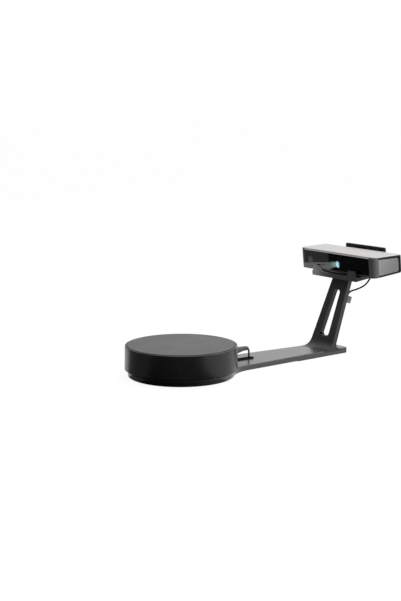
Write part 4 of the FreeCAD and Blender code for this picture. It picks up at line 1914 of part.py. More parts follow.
make_base()
make_base_covers()
make_upright()
make_foot_screws()
make_cable_guide()
make_cradle()
make_cradle_parts()
make_head_shell()
make_head_cover()
make_side_panels()
make_bezel()
make_optics()
make_fan()
make_electronics()
make_drum()
make_drum_floor()
make_drive()
make_gears()
make_bearing()
make_platter()
make_link_board()
make_plugs()
make_cable()
doc.recompute()

faults = [item.Name for item in doc.Objects if "Invalid" in item.State or "Error" in item.State]
for item in nodes:
    if item.Shape.isNull() or not item.Shape.isValid():
        faults.append(item.Label)
if faults:
    raise ValueError("failed objects: " + ", ".join(faults))
for item in nodes:
    item.Shape.exportStep(f"parts/{item.Label}.step")
print(len(nodes), "nodes")
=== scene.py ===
import math

import bmesh
import bpy
from mathutils import Matrix, Vector


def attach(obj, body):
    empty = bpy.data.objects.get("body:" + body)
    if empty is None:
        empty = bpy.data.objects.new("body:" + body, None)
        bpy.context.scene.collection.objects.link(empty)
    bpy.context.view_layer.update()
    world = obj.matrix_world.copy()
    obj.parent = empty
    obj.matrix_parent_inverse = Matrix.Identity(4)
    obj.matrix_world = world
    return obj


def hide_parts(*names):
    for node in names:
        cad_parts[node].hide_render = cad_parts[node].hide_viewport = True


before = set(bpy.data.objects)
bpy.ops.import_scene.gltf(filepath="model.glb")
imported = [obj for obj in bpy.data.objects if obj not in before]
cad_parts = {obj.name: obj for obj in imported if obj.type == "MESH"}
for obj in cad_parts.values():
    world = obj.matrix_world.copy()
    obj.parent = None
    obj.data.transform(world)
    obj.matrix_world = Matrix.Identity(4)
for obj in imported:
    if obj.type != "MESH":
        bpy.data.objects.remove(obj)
scene = bpy.context.scene
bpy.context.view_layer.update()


# Camera.  A short telephoto stands off the turntable's near left and looks along the arm, a little
# from above.  The long side of its view takes the 36 mm of the sensor.
camera = bpy.data.objects.new("camera", bpy.data.cameras.new("camera"))
scene.collection.objects.link(camera)
tilt_down, turn_right = 9.46, 35.58
camera.data.lens = 70.2
camera.data.sensor_width = 36.0
camera.data.clip_start = 0.05
camera.location = (-1.2000, -1.7385, 0.4911)
camera.rotation_euler = (math.radians(90 - tilt_down), 0, math.radians(-turn_right))
scene.camera = camera


# Link cable.  A round lead in soft black vinyl joins the turntable to the head: it drops through the
# slot in the arm, lies in the channel below, comes up behind the upright, where a guide holds it, and
# swings up to the socket in the head's rear.
cable_diameter = 0.0034
cable_route = [
    (0.1480, 0.0, 0.0320), (0.1548, 0.0, 0.0320), (0.1578, 0.0, 0.0276), (0.1579, 0.0, 0.0200),
    (0.1578, 0.0001, 0.0125), (0.1596, 0.0003, 0.0072), (0.1660, 0.0006, 0.0053),
    (0.1780, 0.0011, 0.0055), (0.2000, 0.0019, 0.0054), (0.2430, 0.0026, 0.0055),
    (0.2900, 0.0023, 0.0053), (0.3300, 0.0009, 0.0051), (0.3540, -0.0014, 0.0050),
    (0.3660, -0.0032, 0.0052), (0.3722, -0.0046, 0.0086), (0.3726, -0.0054, 0.0160),
    (0.3700, -0.0086, 0.0250), (0.36459, -0.0142, 0.0380), (0.37078, -0.0176, 0.0540),
    (0.38007, -0.0184, 0.0780), (0.38704, -0.0182, 0.0960), (0.39424, -0.0180, 0.1146),
    (0.4034, -0.0157, 0.1213), (0.4300, -0.0065, 0.1214), (0.4550, 0.0030, 0.1232),
    (0.4702, 0.0085, 0.1268), (0.4822, 0.0120, 0.1340), (0.4910, 0.0138, 0.1450),
    (0.4960, 0.0142, 0.1575), (0.4968, 0.0142, 0.1690), (0.4919, 0.0141, 0.1776),
    (0.48284, 0.0140, 0.18276), (0.47389, 0.0140, 0.18183),
]


def srgb(red, green, blue):
    """A colour as it is read off a paint card, 0 to 255, in the linear values that light adds up in."""
    def linear(level):
        level /= 255
        return level / 12.92 if level <= 0.04045 else ((level + 0.055) / 1.055) ** 2.4
    return (linear(red), linear(green), linear(blue), 1)


def finish(name, colour, roughness, grain, relief, mottle=0.08, streak=(1, 1, 1), specular=0.5,
           metallic=0):
    """A finish with its own grain.  The grain's size and the height of its relief are in metres, mottle
    is how far the colour wanders, and streak stretches the grain, as brushing does."""
    patches_per_metre = 22
    fine_share, broad_share = 0.6, 0.4
    darkest, lightest = 0.3, 0.7
    polish_swing = 0.06
    material = bpy.data.materials.new(name)
    material.use_nodes = True
    nodes, links = material.node_tree.nodes, material.node_tree.links
    shader = nodes["Principled BSDF"]
    shader.inputs["Specular IOR Level"].default_value = specular
    shader.inputs["Metallic"].default_value = metallic
    place = nodes.new("ShaderNodeTexCoord")
    stretch = nodes.new("ShaderNodeMapping")
    stretch.inputs["Scale"].default_value = streak
    links.new(place.outputs["Object"], stretch.inputs["Vector"])
    fine = nodes.new("ShaderNodeTexNoise")
    fine.name = "fine grain"
    fine.inputs["Scale"].default_value = 1 / grain
    fine.inputs["Detail"].default_value = 3
    fine.inputs["Roughness"].default_value = 0.6
    links.new(stretch.outputs["Vector"], fine.inputs["Vector"])
    broad = nodes.new("ShaderNodeTexNoise")
    broad.name = "broad patches"
    broad.inputs["Scale"].default_value = patches_per_metre
    broad.inputs["Detail"].default_value = 4
    links.new(place.outputs["Object"], broad.inputs["Vector"])
    part = nodes.new("ShaderNodeMath")
    part.operation = "MULTIPLY"
    part.inputs[1].default_value = broad_share
    links.new(broad.outputs["Fac"], part.inputs[0])
    both = nodes.new("ShaderNodeMath")
    both.operation = "MULTIPLY_ADD"
    both.inputs[1].default_value = fine_share
    links.new(fine.outputs["Fac"], both.inputs[0])
    links.new(part.outputs["Value"], both.inputs[2])
    tone = nodes.new("ShaderNodeValToRGB")
    tone.name = "tone"
    for element, station, share in zip(tone.color_ramp.elements, (darkest, lightest), (-mottle, mottle)):
        element.position = station
        element.color = (*(min(1, channel * (1 + share)) for channel in colour[:3]), 1)
    links.new(both.outputs["Value"], tone.inputs["Fac"])
    links.new(tone.outputs["Color"], shader.inputs["Base Color"])
    polish = nodes.new("ShaderNodeMapRange")
    polish.name = "polish"
    polish.inputs["From Min"].default_value = darkest
    polish.inputs["From Max"].default_value = lightest
    polish.inputs["To Min"].default_value = roughness * (1 - polish_swing)
    polish.inputs["To Max"].default_value = min(1, roughness * (1 + polish_swing))
    links.new(broad.outputs["Fac"], polish.inputs["Value"])
    links.new(polish.outputs["Result"], shader.inputs["Roughness"])
    bump = nodes.new("ShaderNodeBump")
    bump.name = "relief"
    bump.inputs["Strength"].default_value = 0.7
    bump.inputs["Distance"].default_value = relief
    links.new(fine.outputs["Fac"], bump.inputs["Height"])
    links.new(bump.outputs["Normal"], shader.inputs["Normal"])
    return material


cable_vinyl = finish("cable vinyl", srgb(5, 5, 5), 0.7, 0.0006, 0.00003, specular=0.05)
cable_line = bpy.data.curves.new("link_lead", "CURVE")
cable_line.dimensions = "3D"
cable_line.bevel_depth = cable_diameter / 2
cable_line.bevel_resolution = 5
cable_line.resolution_u = 12
cable_line.use_fill_caps = True
spline = cable_line.splines.new("NURBS")
spline.points.add(len(cable_route) - 1)
for point, spot in zip(spline.points, cable_route):
    point.co = (*spot, 1)
spline.order_u = 3
spline.use_endpoint_u = True
cable_line.materials.append(cable_vinyl)
link_lead = bpy.data.objects.new("link_lead", cable_line)
scene.collection.objects.link(link_lead)
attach(link_lead, "root")
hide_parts("link_cable")


# Head plug.  A flat-sided plug in soft vinyl, moulded over the lead's end, with a short boot that
# keeps the lead from kinking.  It is pushed into the socket in the head's rear.
plug_vinyl = finish("plug vinyl", srgb(70, 70, 71), 0.6, 0.0005, 0.00008, mottle=0.18)


def dress(material, *names):
    """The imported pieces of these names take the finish."""
    for name in names:
        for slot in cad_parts[name].material_slots:
            slot.material = material


dress(plug_vinyl, "head_plug")


# Turntable plug.  The same vinyl, moulded over the lead's other end and pushed into the drum's socket.
# Its body tapers into a round sleeve with three grooves, which bends down with the lead.
plug_sides = 32
plug_squareness = 3.2
plug_stations = (
    # along the arm, height above the floor, half width, half height
    (0.1062, 0.0303, 0.0060, 0.0054), (0.1068, 0.0303, 0.0065, 0.0060), (0.1220, 0.0303, 0.0065, 0.0060),
    (0.1300, 0.0308, 0.0061, 0.0056), (0.1370, 0.0315, 0.0052, 0.0049), (0.1430, 0.0320, 0.0043, 0.0042),
    (0.1436, 0.0320, 0.0038, 0.0038), (0.1444, 0.0320, 0.0038, 0.0038), (0.1450, 0.0320, 0.0042, 0.0042),
    (0.1472, 0.0320, 0.0041, 0.0041), (0.1478, 0.0320, 0.0036, 0.0036), (0.1486, 0.0320, 0.0036, 0.0036),
    (0.1492, 0.0320, 0.0040, 0.0040), (0.1514, 0.0319, 0.0038, 0.0039), (0.1520, 0.0318, 0.0034, 0.0034),
    (0.1526, 0.0317, 0.0034, 0.0034), (0.1532, 0.0316, 0.0037, 0.0038), (0.1548, 0.0311, 0.0034, 0.0035),
    (0.1552, 0.0309, 0.0030, 0.0030),
)
plug_form = bmesh.new()
plug_rings = []
for along, height, half_wide, half_tall in plug_stations:
    ring = bmesh.ops.create_circle(plug_form, segments=plug_sides, radius=1)["verts"]
    for corner in ring:
        across, up = corner.co.xy
        swell = (abs(across) ** plug_squareness + abs(up) ** plug_squareness) ** (-1 / plug_squareness)
        corner.co = (along, half_wide * swell * across, height + half_tall * swell * up)
    plug_rings.append([edge for edge in plug_form.edges if edge.verts[0] in ring])
for near, far in zip(plug_rings, plug_rings[1:]):
    bmesh.ops.bridge_loops(plug_form, edges=near + far)
bmesh.ops.holes_fill(plug_form, edges=plug_rings[0] + plug_rings[-1])


def keep(name, form, material):
    """The finished mesh as a named piece of the part that stands still."""
    bmesh.ops.recalc_face_normals(form, faces=form.faces)
    mesh = bpy.data.meshes.new(name)
    form.to_mesh(mesh)
    form.free()
    mesh.materials.append(material)
    made = bpy.data.objects.new(name, mesh)
    scene.collection.objects.link(made)
    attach(made, "root")
    return made


lead_plug = keep("lead_plug", plug_form, plug_vinyl)
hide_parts("turntable_plug")


# Slot grommet.  A rim of soft black rubber, moulded in one piece and pressed into the slot in the
# arm's top, keeps the lead off the paint.
slot_near, slot_far = 0.1176, 0.1622
end_roundness = 0.98
grommet_profile = (
    # reach from the slot's centre line, height above the floor
    (0.0062, 0.0112), (0.0062, 0.0128), (0.0054, 0.0134), (0.0046, 0.0129), (0.0044, 0.0112),
)
grommet_rubber = finish("grommet rubber", srgb(9, 9, 9), 0.7, 0.0006, 0.00005, mottle=0.15, specular=0.15)


def lay_out(form, corners):
    """A flat face through corners, each given with the radius that it is rounded to."""
    spots = [form.verts.new(place) for place, _ in corners]
    form.faces.new(spots)
    for spot, (_, radius) in zip(spots, corners):
        one, other = (edge.other_vert(spot).co - spot.co for edge in spot.link_edges)
        bmesh.ops.bevel(form, geom=[spot], offset=radius / math.tan(one.angle(other) / 2),
                        offset_type="OFFSET", segments=8, profile=0.5, affect="VERTICES", material=-1)


grommet_form = bmesh.new()
grommet_rims = []
for reach, height in grommet_profile:
    start, end = slot_near - reach, slot_far + reach
    lay_out(grommet_form, [((x, y, height), reach * end_roundness) for x, y in (
        (start, -reach), (end, -reach), (end, reach), (start, reach))])
    grommet_rims.append([edge for face in grommet_form.faces for edge in face.edges])
    bmesh.ops.delete(grommet_form, geom=grommet_form.faces[:], context="FACES_ONLY")
for outer, inner in zip(grommet_rims, grommet_rims[1:] + grommet_rims[:1]):
    bmesh.ops.bridge_loops(grommet_form, edges=outer + inner)
keep("slot_grommet", grommet_form, grommet_rubber)


# Base.  A ring and a tapering arm in one plastic moulding, hollow and ribbed underneath.  Its fine
# lacquer is a glossy dark grey that reads silver-grey along the arm; painted shade darkens it to near
# black round the turntable, where the drum overhangs.
arm_paint = finish("arm lacquer", srgb(55, 54, 53), 0.26, 0.0004, 0.00002, mottle=0.06)


def shade(material, way, start, end, tints):
    """Painted light and shade: tints that the colour is multiplied by, evenly spaced between two stations
    along a direction.
    """
    nodes, links = material.node_tree.nodes, material.node_tree.links
    along = nodes.new("ShaderNodeVectorMath")
    along.operation = "DOT_PRODUCT"
    along.inputs[1].default_value = way
    links.new(nodes["Texture Coordinate"].outputs["Object"], along.inputs[0])
    station = nodes.new("ShaderNodeMapRange")
    station.inputs["From Min"].default_value = start
    station.inputs["From Max"].default_value = end
    links.new(along.outputs["Value"], station.inputs["Value"])
    tint = nodes.new("ShaderNodeValToRGB")
    tint.name = "tint"
    for place in range(1, len(tints) - 1):
        tint.color_ramp.elements.new(place / (len(tints) - 1))
    for element, level in zip(tint.color_ramp.elements, tints):
        element.color = (level, level, level, 1)
    links.new(station.outputs["Result"], tint.inputs["Fac"])
    product = nodes.new("ShaderNodeMix")
    product.data_type = "RGBA"
    product.blend_type = "MULTIPLY"
    product.inputs["Factor"].default_value = 1
    colour = nodes["Principled BSDF"].inputs["Base Color"]
    links.new(colour.links[0].from_socket, product.inputs["A"])
    links.new(tint.outputs["Color"], product.inputs["B"])
    links.new(product.outputs["Result"], colour)


# Painted shade: the lacquer darkened to near black round the ring, fading out towards the arm.
shade(arm_paint, (0.8133, -0.5819, 0), -0.1, 0.1, (0.2, 0.1, 0.07, 0.07, 0.08, 0.12, 0.35, 0.75, 1.0))
dress(arm_paint, "base_plate")


# Underside of the base.  A black moulded cover closes the cable channel, a ring and a pad of rubber
# are glued on to stand on the desk, and zinc-plated cross-head screws hold the cover and the upright.
under_plastic = finish("under cover plastic", srgb(38, 38, 39), 0.55, 0.0007, 0.00006)
dress(under_plastic, "arm_bottom_cover")
foot_rubber = finish("foot rubber", srgb(28, 28, 28), 0.85, 0.0009, 0.0001, mottle=0.15)
dress(foot_rubber, "ring_foot", "arm_foot_pad")
zinc = finish("zinc plate", srgb(186, 188, 190), 0.28, 0.0003, 0.000012, mottle=0.06, metallic=1)
dress(zinc, "cover_screws", "foot_screws")


# Upright.  A thick metal casting with a long slot leans back from its foot to the cradle.  Sand-cast
# grain shows under its satin black powder coat, and screws from below hold it to the arm.
upright_paint = finish("upright paint", srgb(38, 38, 38), 0.42, 0.0011, 0.0001, mottle=0.14, specular=0.3)
dress(upright_paint, "upright")


# Cable guide.  A small open clip of dark moulded plastic, fixed behind the upright, that the lead
# snaps into.
guide_plastic = finish("guide plastic", srgb(86, 86, 87), 0.5, 0.0006, 0.00005)
dress(guide_plastic, "cable_guide")


# Cradle.  A powder-coated metal tray on top of the upright, held by screws: a lip with two hooks in
# front of the head, rubber pads below it, and a plate behind it.  A painted reflection makes the coat
# paler towards the lip's far end.
head_place = Matrix.Translation((0.380, 0, 0.1585)) @ Matrix.Rotation(math.radians(-5.93), 4, "Y")
cradle_paint = finish("cradle paint", srgb(32, 32, 33), 0.48, 0.0009, 0.00008, mottle=0.14, specular=0.3)


def shade_head(material, way, start, end, tints):
    """Painted light and shade along a direction of the head's own frame: depth from its front, side, and
    height.
    """
    way = head_place.to_3x3() @ Vector(way)
    front = way.dot(head_place.translation)
    shade(material, way, front + start, front + end, tints)


# Painted reflection: the coat lightened up to fifteen times towards the lip's far end, slightly darkened at
# its near end.
shade_head(cradle_paint, (1, -1, 0), -0.0730, 0.0020, (15.0, 11.5, 5.2, 2.3, 0.85, 0.7))
dress(cradle_paint, "head_cradle")
dress(foot_rubber, "cradle_pads")
dress(zinc, "cradle_screws")


# Thumb screw.  A fluted knob of black moulded plastic on a stud, turned by hand from below, draws the
# brass nut in the head's floor down onto the cradle.
knob_plastic = finish("knob plastic", srgb(30, 30, 31), 0.46, 0.0006, 0.00004)
dress(knob_plastic, "thumb_screw")
brass = finish("turned brass", srgb(206, 172, 104), 0.26, 0.0004, 0.000012, streak=(1, 1, 12), metallic=1)
dress(brass, "mounting_nut")


# Head casing.  A black moulded tub under a silver lid, both in a fine satin lacquer, with zinc-plated
# screws that hold them together.  Painted shade darkens a line along the edge where the lid turns
# down to its lip.
lid_paint = finish("lid lacquer", srgb(168, 166, 164), 0.4, 0.0004, 0.00002, mottle=0.04, metallic=0.3)
# Painted shade: a dark line along the lid's rounded front edge.
shade_head(lid_paint, (1, 0, 1), 0.0380, 0.0460, (0.95, 0.95, 0.6, 0.9, 1.0))
dress(lid_paint, "top_cover")
tub_paint = finish("tub lacquer", srgb(26, 26, 27), 0.45, 0.0006, 0.00004, specular=0.3)
dress(tub_paint, "head_shell")
dress(zinc, "head_screws")


# Side panels.  At each end of the head a plate of textured grey plastic is set into a black rubber
# surround, which clips into the casing's open side.
surround_seat, surround_thickness, surround_edge = 0.1076, 0.0010, 0.0003
insert_seat, insert_thickness, insert_edge = 0.1086, 0.00038, 0.0002
surround_corners = (
    # depth from the head's front, height, corner radius
    (0.0127, 0.0024, 0.0004), (0.0714, 0.0024, 0.0036), (0.0714, 0.0335, 0.0036), (0.0127, 0.0376, 0.0004),
)
insert_corners = (
    (0.0130, 0.0040, 0.0008), (0.0662, 0.0040, 0.0060), (0.0662, 0.0310, 0.0060), (0.0130, 0.0357, 0.0008),
)
panel_texture = finish("panel texture", srgb(116, 115, 114), 0.5, 0.0012, 0.00014, mottle=0.14)
# Painted shade: the insert is lighter at its front and darkens towards its rear and its bottom.
shade(panel_texture, (1, 0, -0.6), 0.27, 0.354, (1.2, 0.92, 0.68, 0.62))
surround_rubber = finish("surround rubber", srgb(9, 9, 9), 0.7, 0.0006, 0.00004, mottle=0.15, specular=0.12)


def slab(corners, thrust, edge):
    """A plate in the head's frame with rounded corners, thrust out by a vector, its far rim rounded."""
    form = bmesh.new()
    lay_out(form, corners)
    grown = bmesh.ops.extrude_face_region(form, geom=form.faces[:], use_keep_orig=True)["geom"]
    far = [item for item in grown if isinstance(item, bmesh.types.BMVert)]
    bmesh.ops.translate(form, vec=thrust, verts=far)
    rim = [line for line in form.edges if line.verts[0] in far and line.verts[1] in far]
    bmesh.ops.bevel(form, geom=rim, offset=edge, offset_type="OFFSET", segments=3, profile=0.5,
                    affect="EDGES", material=-1)
    form.transform(head_place)
    return form


for side, sign in (("left", 1), ("right", -1)):
    outer = [((depth, sign * surround_seat, height), radius) for depth, height, radius in surround_corners]
    surround_form = slab(outer, (0, sign * surround_thickness, 0), surround_edge)
    surround = keep(f"panel_surround_{side}", surround_form, surround_rubber)
    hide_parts(f"side_panel_{side}")
    inner = [((depth, sign * insert_seat, height), radius) for depth, height, radius in insert_corners]
    insert_form = slab(inner, (0, sign * insert_thickness, 0), insert_edge)
    keep(f"panel_insert_{side}", insert_form, panel_texture)


# Front bezel.  The moulded black frame round the window, clipped over the tub's front.  Its colour
# carries painted light: a painted highlight where its near end rounds to the side, painted shade over
# the rest, and a painted reflection on the sill under the window's far end.
bezel_plastic = finish("bezel plastic", srgb(62, 62, 63), 0.4, 0.0006, 0.00003, mottle=0.1, specular=0.3)
# Painted highlight where the near end rounds to the side, and painted shade over the rest.
shade_head(bezel_plastic, (0, 1, 0), -0.109, -0.081, (1.9, 1.25, 0.85, 0.85, 0.5, 0.38, 0.33, 0.3))
# Painted reflection: the sill under the window's far part lightened up to nine times.
shade_head(bezel_plastic, (0, 1, -12), -0.045, -0.012, (1.0, 9.0))
dress(bezel_plastic, "front_bezel")


# Window.  A pane of smoked glass with a coating, glued into the bezel, so dark that the lenses behind
# it show only faintly.
smoked_glass = finish("smoked glass", srgb(26, 27, 29), 0.025, 0.004, 0.000001, mottle=0.1)
glass_shader = smoked_glass.node_tree.nodes["Principled BSDF"]
glass_shader.inputs["Transmission Weight"].default_value = 0.9
glass_shader.inputs["IOR"].default_value = 1.4
dress(smoked_glass, "front_window")


# Optics.  Two cameras at the ends and a light engine in the middle are screwed to a milled aluminium
# bench, with coated glass lenses in front and an anodised barrel round the middle one.
milled = finish("milled aluminium", srgb(196, 197, 199), 0.34, 0.0005, 0.00002, mottle=0.05, streak=(1, 9, 9),
                metallic=1)
dress(milled, "optical_bench", "camera_left", "camera_right", "light_engine", "heat_sink")
lens_coating = finish("lens coating", srgb(52, 60, 76), 0.08, 0.003, 0.000002, mottle=0.2)
lens_coating.node_tree.nodes["Principled BSDF"].inputs["Coat Weight"].default_value = 1
dress(lens_coating, "camera_lenses")
barrel_black = finish("barrel anodising", srgb(26, 26, 27), 0.4, 0.0005, 0.00003)
dress(barrel_black, "projector_barrel")


# Projector lens.  A coated glass lens, held by the barrel, that glows pale cyan while the scanner
# throws its pattern.  Its top and the side away from the flare plate stay dark.
lens_power = 110
lit_lens = finish("lit lens", srgb(190, 240, 238), 0.1, 0.003, 0.000002, mottle=0.15)
shade_head(lit_lens, (0, 1, 0), -0.0060, 0.0, (0.03, 0.35, 1.2))
shade_head(lit_lens, (0, 0, 1), 0.0207, 0.0225, (1.2, 0.04))
dress(lit_lens, "projector_lens")


def light_up(material, colour, power, level):
    """The surface shines in a colour, as strongly as an output of its own nodes says."""
    nodes, links = material.node_tree.nodes, material.node_tree.links
    shader = nodes["Principled BSDF"]
    shader.inputs["Emission Color"].default_value = colour
    strength = nodes.new("ShaderNodeMath")
    strength.operation = "MULTIPLY"
    strength.inputs[1].default_value = power
    links.new(level, strength.inputs[0])
    links.new(strength.outputs["Value"], shader.inputs["Emission Strength"])


lit_colour = lit_lens.node_tree.nodes["Principled BSDF"].inputs["Base Color"]
light_up(lit_lens, srgb(196, 242, 238), lens_power, lit_colour.links[0].from_socket)


# Flare plate.  A small plate of frosted plastic, pressed in behind the window beside the lens, whose
# glow is painted light: a painted flare of the projector's light that fades away from the lens.
flare_power = 36
flare_seat, flare_thickness, flare_edge = 0.0034, 0.0008, 0.0003
flare_corners = (
    # side from the head's middle, height, corner radius
    (0.0005, 0.0112, 0.0015), (0.0225, 0.0112, 0.0050), (0.0225, 0.0214, 0.0050), (0.0005, 0.0214, 0.0015),
)
painted_flare = finish("painted flare", srgb(30, 36, 37), 0.5, 0.0008, 0.00003, mottle=0.12)
# Painted glow, strongest beside the lens and fading to nothing away from it.
shade_head(painted_flare, (0, 1, 0), 0.001, 0.023, (1.0, 0.75, 0.5, 0.25, 0.05, 0.0))
light_up(painted_flare, srgb(170, 232, 228), flare_power, painted_flare.node_tree.nodes["tint"].outputs["Color"])
flare_form = slab([((flare_seat, side, height), radius) for side, height, radius in flare_corners],
                  (-flare_thickness, 0, 0), flare_edge)
keep("flare_plate", flare_form, painted_flare)


# Electronics.  Green lacquered boards with copper-coloured traces carry black and zinc-plated sockets.
# A black fan, a push button and a status light are clipped into the tub's rear wall.
trace_width = 0.03
board_lacquer = finish("board lacquer", srgb(30, 92, 54), 0.35, 0.0012, 0.00003, mottle=0.22)
board_nodes, board_links = board_lacquer.node_tree.nodes, board_lacquer.node_tree.links
board_turn = board_nodes.new("ShaderNodeMapping")
board_turn.inputs["Rotation"].default_value = (0, math.radians(45), 0)
board_links.new(board_nodes["Texture Coordinate"].outputs["Object"], board_turn.inputs["Vector"])
traces = board_nodes.new("ShaderNodeTexBrick")
traces.inputs["Color1"].default_value = (1.0, 1.0, 1.0, 1)
traces.inputs["Color2"].default_value = (0.8, 0.82, 0.8, 1)
traces.inputs["Mortar"].default_value = (2.2, 1.7, 1.4, 1)
traces.inputs["Scale"].default_value = 300
traces.inputs["Mortar Size"].default_value = trace_width
traces.inputs["Brick Width"].default_value = 1.7
traces.inputs["Row Height"].default_value = 0.42
board_links.new(board_turn.outputs["Vector"], traces.inputs["Vector"])
traced = board_nodes.new("ShaderNodeMix")
traced.data_type = "RGBA"
traced.blend_type = "MULTIPLY"
traced.inputs["Factor"].default_value = 1
board_links.new(board_nodes["tone"].outputs["Color"], traced.inputs["A"])
board_links.new(traces.outputs["Color"], traced.inputs["B"])
board_links.new(traced.outputs["Result"], board_nodes["Principled BSDF"].inputs["Base Color"])
dress(board_lacquer, "main_board", "driver_board")
socket_plastic = finish("socket plastic", srgb(24, 24, 25), 0.4, 0.0006, 0.00003)
dress(socket_plastic, "power_socket", "link_socket", "button_switch", "fan_frame", "fan_rotor",
      "turntable_socket")
dress(zinc, "usb_socket")
button_cap = finish("button cap", srgb(150, 151, 153), 0.4, 0.0006, 0.00003)
dress(button_cap, "power_button")
light_pipe = finish("light pipe", srgb(196, 206, 208), 0.2, 0.002, 0.000004)
dress(light_pipe, "status_light")


# Turntable housing.  A deep moulded drum in satin black lacquer over a fine grain, closed by a floor
# with rubber feet, which screws hold from below.
drum_lacquer = finish("drum lacquer", srgb(12, 12, 12), 0.27, 0.0005, 0.00003, specular=0.4)
dress(drum_lacquer, "turntable_housing")
dress(under_plastic, "turntable_floor")
dress(foot_rubber, "turntable_feet")
dress(zinc, "turntable_screws")


# Turning disc.  A black moulded disc, screwed to the hub, with a grey mat of fine grained rubber glued
# on, which the thing to be scanned stands on.
dress(drum_lacquer, "platter")
mat_rubber = finish("mat rubber", srgb(42, 41, 40), 0.44, 0.0008, 0.00006, mottle=0.06, specular=0.33)
dress(mat_rubber, "grip_mat")


# Bearing and drive.  A ground steel ball bearing with a brass cage carries the milled hub.  A small
# geared motor, screwed to its bracket, turns the hub through a pair of acetal gears.
ground_steel = finish("ground steel", srgb(200, 201, 203), 0.16, 0.0004, 0.000006, mottle=0.04, metallic=1)
dress(ground_steel, "bearing_outer", "bearing_inner", "bearing_balls", "hub_clip", "motor_shaft")
dress(brass, "ball_cage")
dress(milled, "motor_bracket", "platter_hub")
dress(zinc, "hub_screws")
gear_acetal = finish("gear acetal", srgb(226, 224, 214), 0.45, 0.0008, 0.00003, mottle=0.03)
dress(gear_acetal, "drive_gear", "pinion")
motor_steel = finish("motor steel", srgb(150, 151, 153), 0.3, 0.0005, 0.00002, streak=(1, 1, 9), metallic=1)
dress(motor_steel, "motor")


# Floor.  A wide flat sheet of pale paper that the object stands on.  To camera, gloss and glass nine
# parts in ten of it are a plain white glow, and one part is lit paper that keeps the object's shadow.
floor_reach = 40
floor_white = 0.9
floor_paper = bpy.data.materials.new("floor paper")
floor_paper.use_nodes = True
paper_nodes, paper_links = floor_paper.node_tree.nodes, floor_paper.node_tree.links
paper = paper_nodes["Principled BSDF"]
paper.inputs["Base Color"].default_value = (0.9, 0.9, 0.9, 1)
paper.inputs["Roughness"].default_value = 0.9
glow = paper_nodes.new("ShaderNodeEmission")
glow.inputs["Strength"].default_value = 1.02
ray_kind = paper_nodes.new("ShaderNodeLightPath")
camera_or_gloss = paper_nodes.new("ShaderNodeMath")
camera_or_gloss.operation = "ADD"
paper_links.new(ray_kind.outputs["Is Camera Ray"], camera_or_gloss.inputs[0])
paper_links.new(ray_kind.outputs["Is Glossy Ray"], camera_or_gloss.inputs[1])
or_glass = paper_nodes.new("ShaderNodeMath")
or_glass.operation = "ADD"
paper_links.new(camera_or_gloss.outputs["Value"], or_glass.inputs[0])
paper_links.new(ray_kind.outputs["Is Transmission Ray"], or_glass.inputs[1])
white_share = paper_nodes.new("ShaderNodeMath")
white_share.operation = "MULTIPLY"
white_share.inputs[1].default_value = floor_white
white_share.use_clamp = True
paper_links.new(or_glass.outputs["Value"], white_share.inputs[0])
mixed = paper_nodes.new("ShaderNodeMixShader")
paper_links.new(white_share.outputs["Value"], mixed.inputs["Fac"])
paper_links.new(paper.outputs["BSDF"], mixed.inputs[1])
paper_links.new(glow.outputs["Emission"], mixed.inputs[2])
paper_links.new(mixed.outputs["Shader"], paper_nodes["Material Output"].inputs["Surface"])
floor_mesh = bpy.data.meshes.new("floor")
floor_form = bmesh.new()
bmesh.ops.create_grid(floor_form, x_segments=1, y_segments=1, size=floor_reach)
floor_form.to_mesh(floor_mesh)
floor_form.free()
floor_mesh.materials.append(floor_paper)
floor = bpy.data.objects.new("floor", floor_mesh)
scene.collection.objects.link(floor)


# Room.  Even white to the camera.  To the object it is bright on its right and dim on its left, and
# nearly half as bright again in gloss as on matt surfaces.
bright_side = (0.72, -0.42, 0.55)
dimmest, brightest = 0.1, 1.0
gloss_lift = 0.45
world = bpy.data.worlds.new("studio")
scene.world = world
world.use_nodes = True
world_nodes, world_links = world.node_tree.nodes, world.node_tree.links
walls = world_nodes["Background"]
walls.inputs["Color"].default_value = (1, 1, 1, 1)
white = world_nodes.new("ShaderNodeBackground")
white.inputs["Color"].default_value = (1, 1, 1, 1)
white.inputs["Strength"].default_value = 1
path = world_nodes.new("ShaderNodeLightPath")
heading = world_nodes.new("ShaderNodeTexCoord")
toward = world_nodes.new("ShaderNodeVectorMath")
toward.operation = "DOT_PRODUCT"
toward.inputs[1].default_value = bright_side
world_links.new(heading.outputs["Generated"], toward.inputs[0])
fade = world_nodes.new("ShaderNodeMapRange")
fade.interpolation_type = "SMOOTHSTEP"
fade.inputs["From Min"].default_value = -0.65
fade.inputs["From Max"].default_value = 0.65
fade.inputs["To Min"].default_value = dimmest
fade.inputs["To Max"].default_value = brightest
world_links.new(toward.outputs["Value"], fade.inputs["Value"])
lift = world_nodes.new("ShaderNodeMath")
lift.operation = "MULTIPLY_ADD"
lift.inputs[1].default_value = gloss_lift
lift.inputs[2].default_value = 1.0
world_links.new(path.outputs["Is Glossy Ray"], lift.inputs[0])
power = world_nodes.new("ShaderNodeMath")
power.operation = "MULTIPLY"
world_links.new(fade.outputs["Result"], power.inputs[0])
world_links.new(lift.outputs["Value"], power.inputs[1])
world_links.new(power.outputs["Value"], walls.inputs["Strength"])
choice = world_nodes.new("ShaderNodeMixShader")
world_links.new(path.outputs["Is Camera Ray"], choice.inputs["Fac"])
world_links.new(walls.outputs["Background"], choice.inputs[1])
world_links.new(white.outputs["Background"], choice.inputs[2])
world_links.new(choice.outputs["Shader"], world_nodes["World Output"].inputs["Surface"])


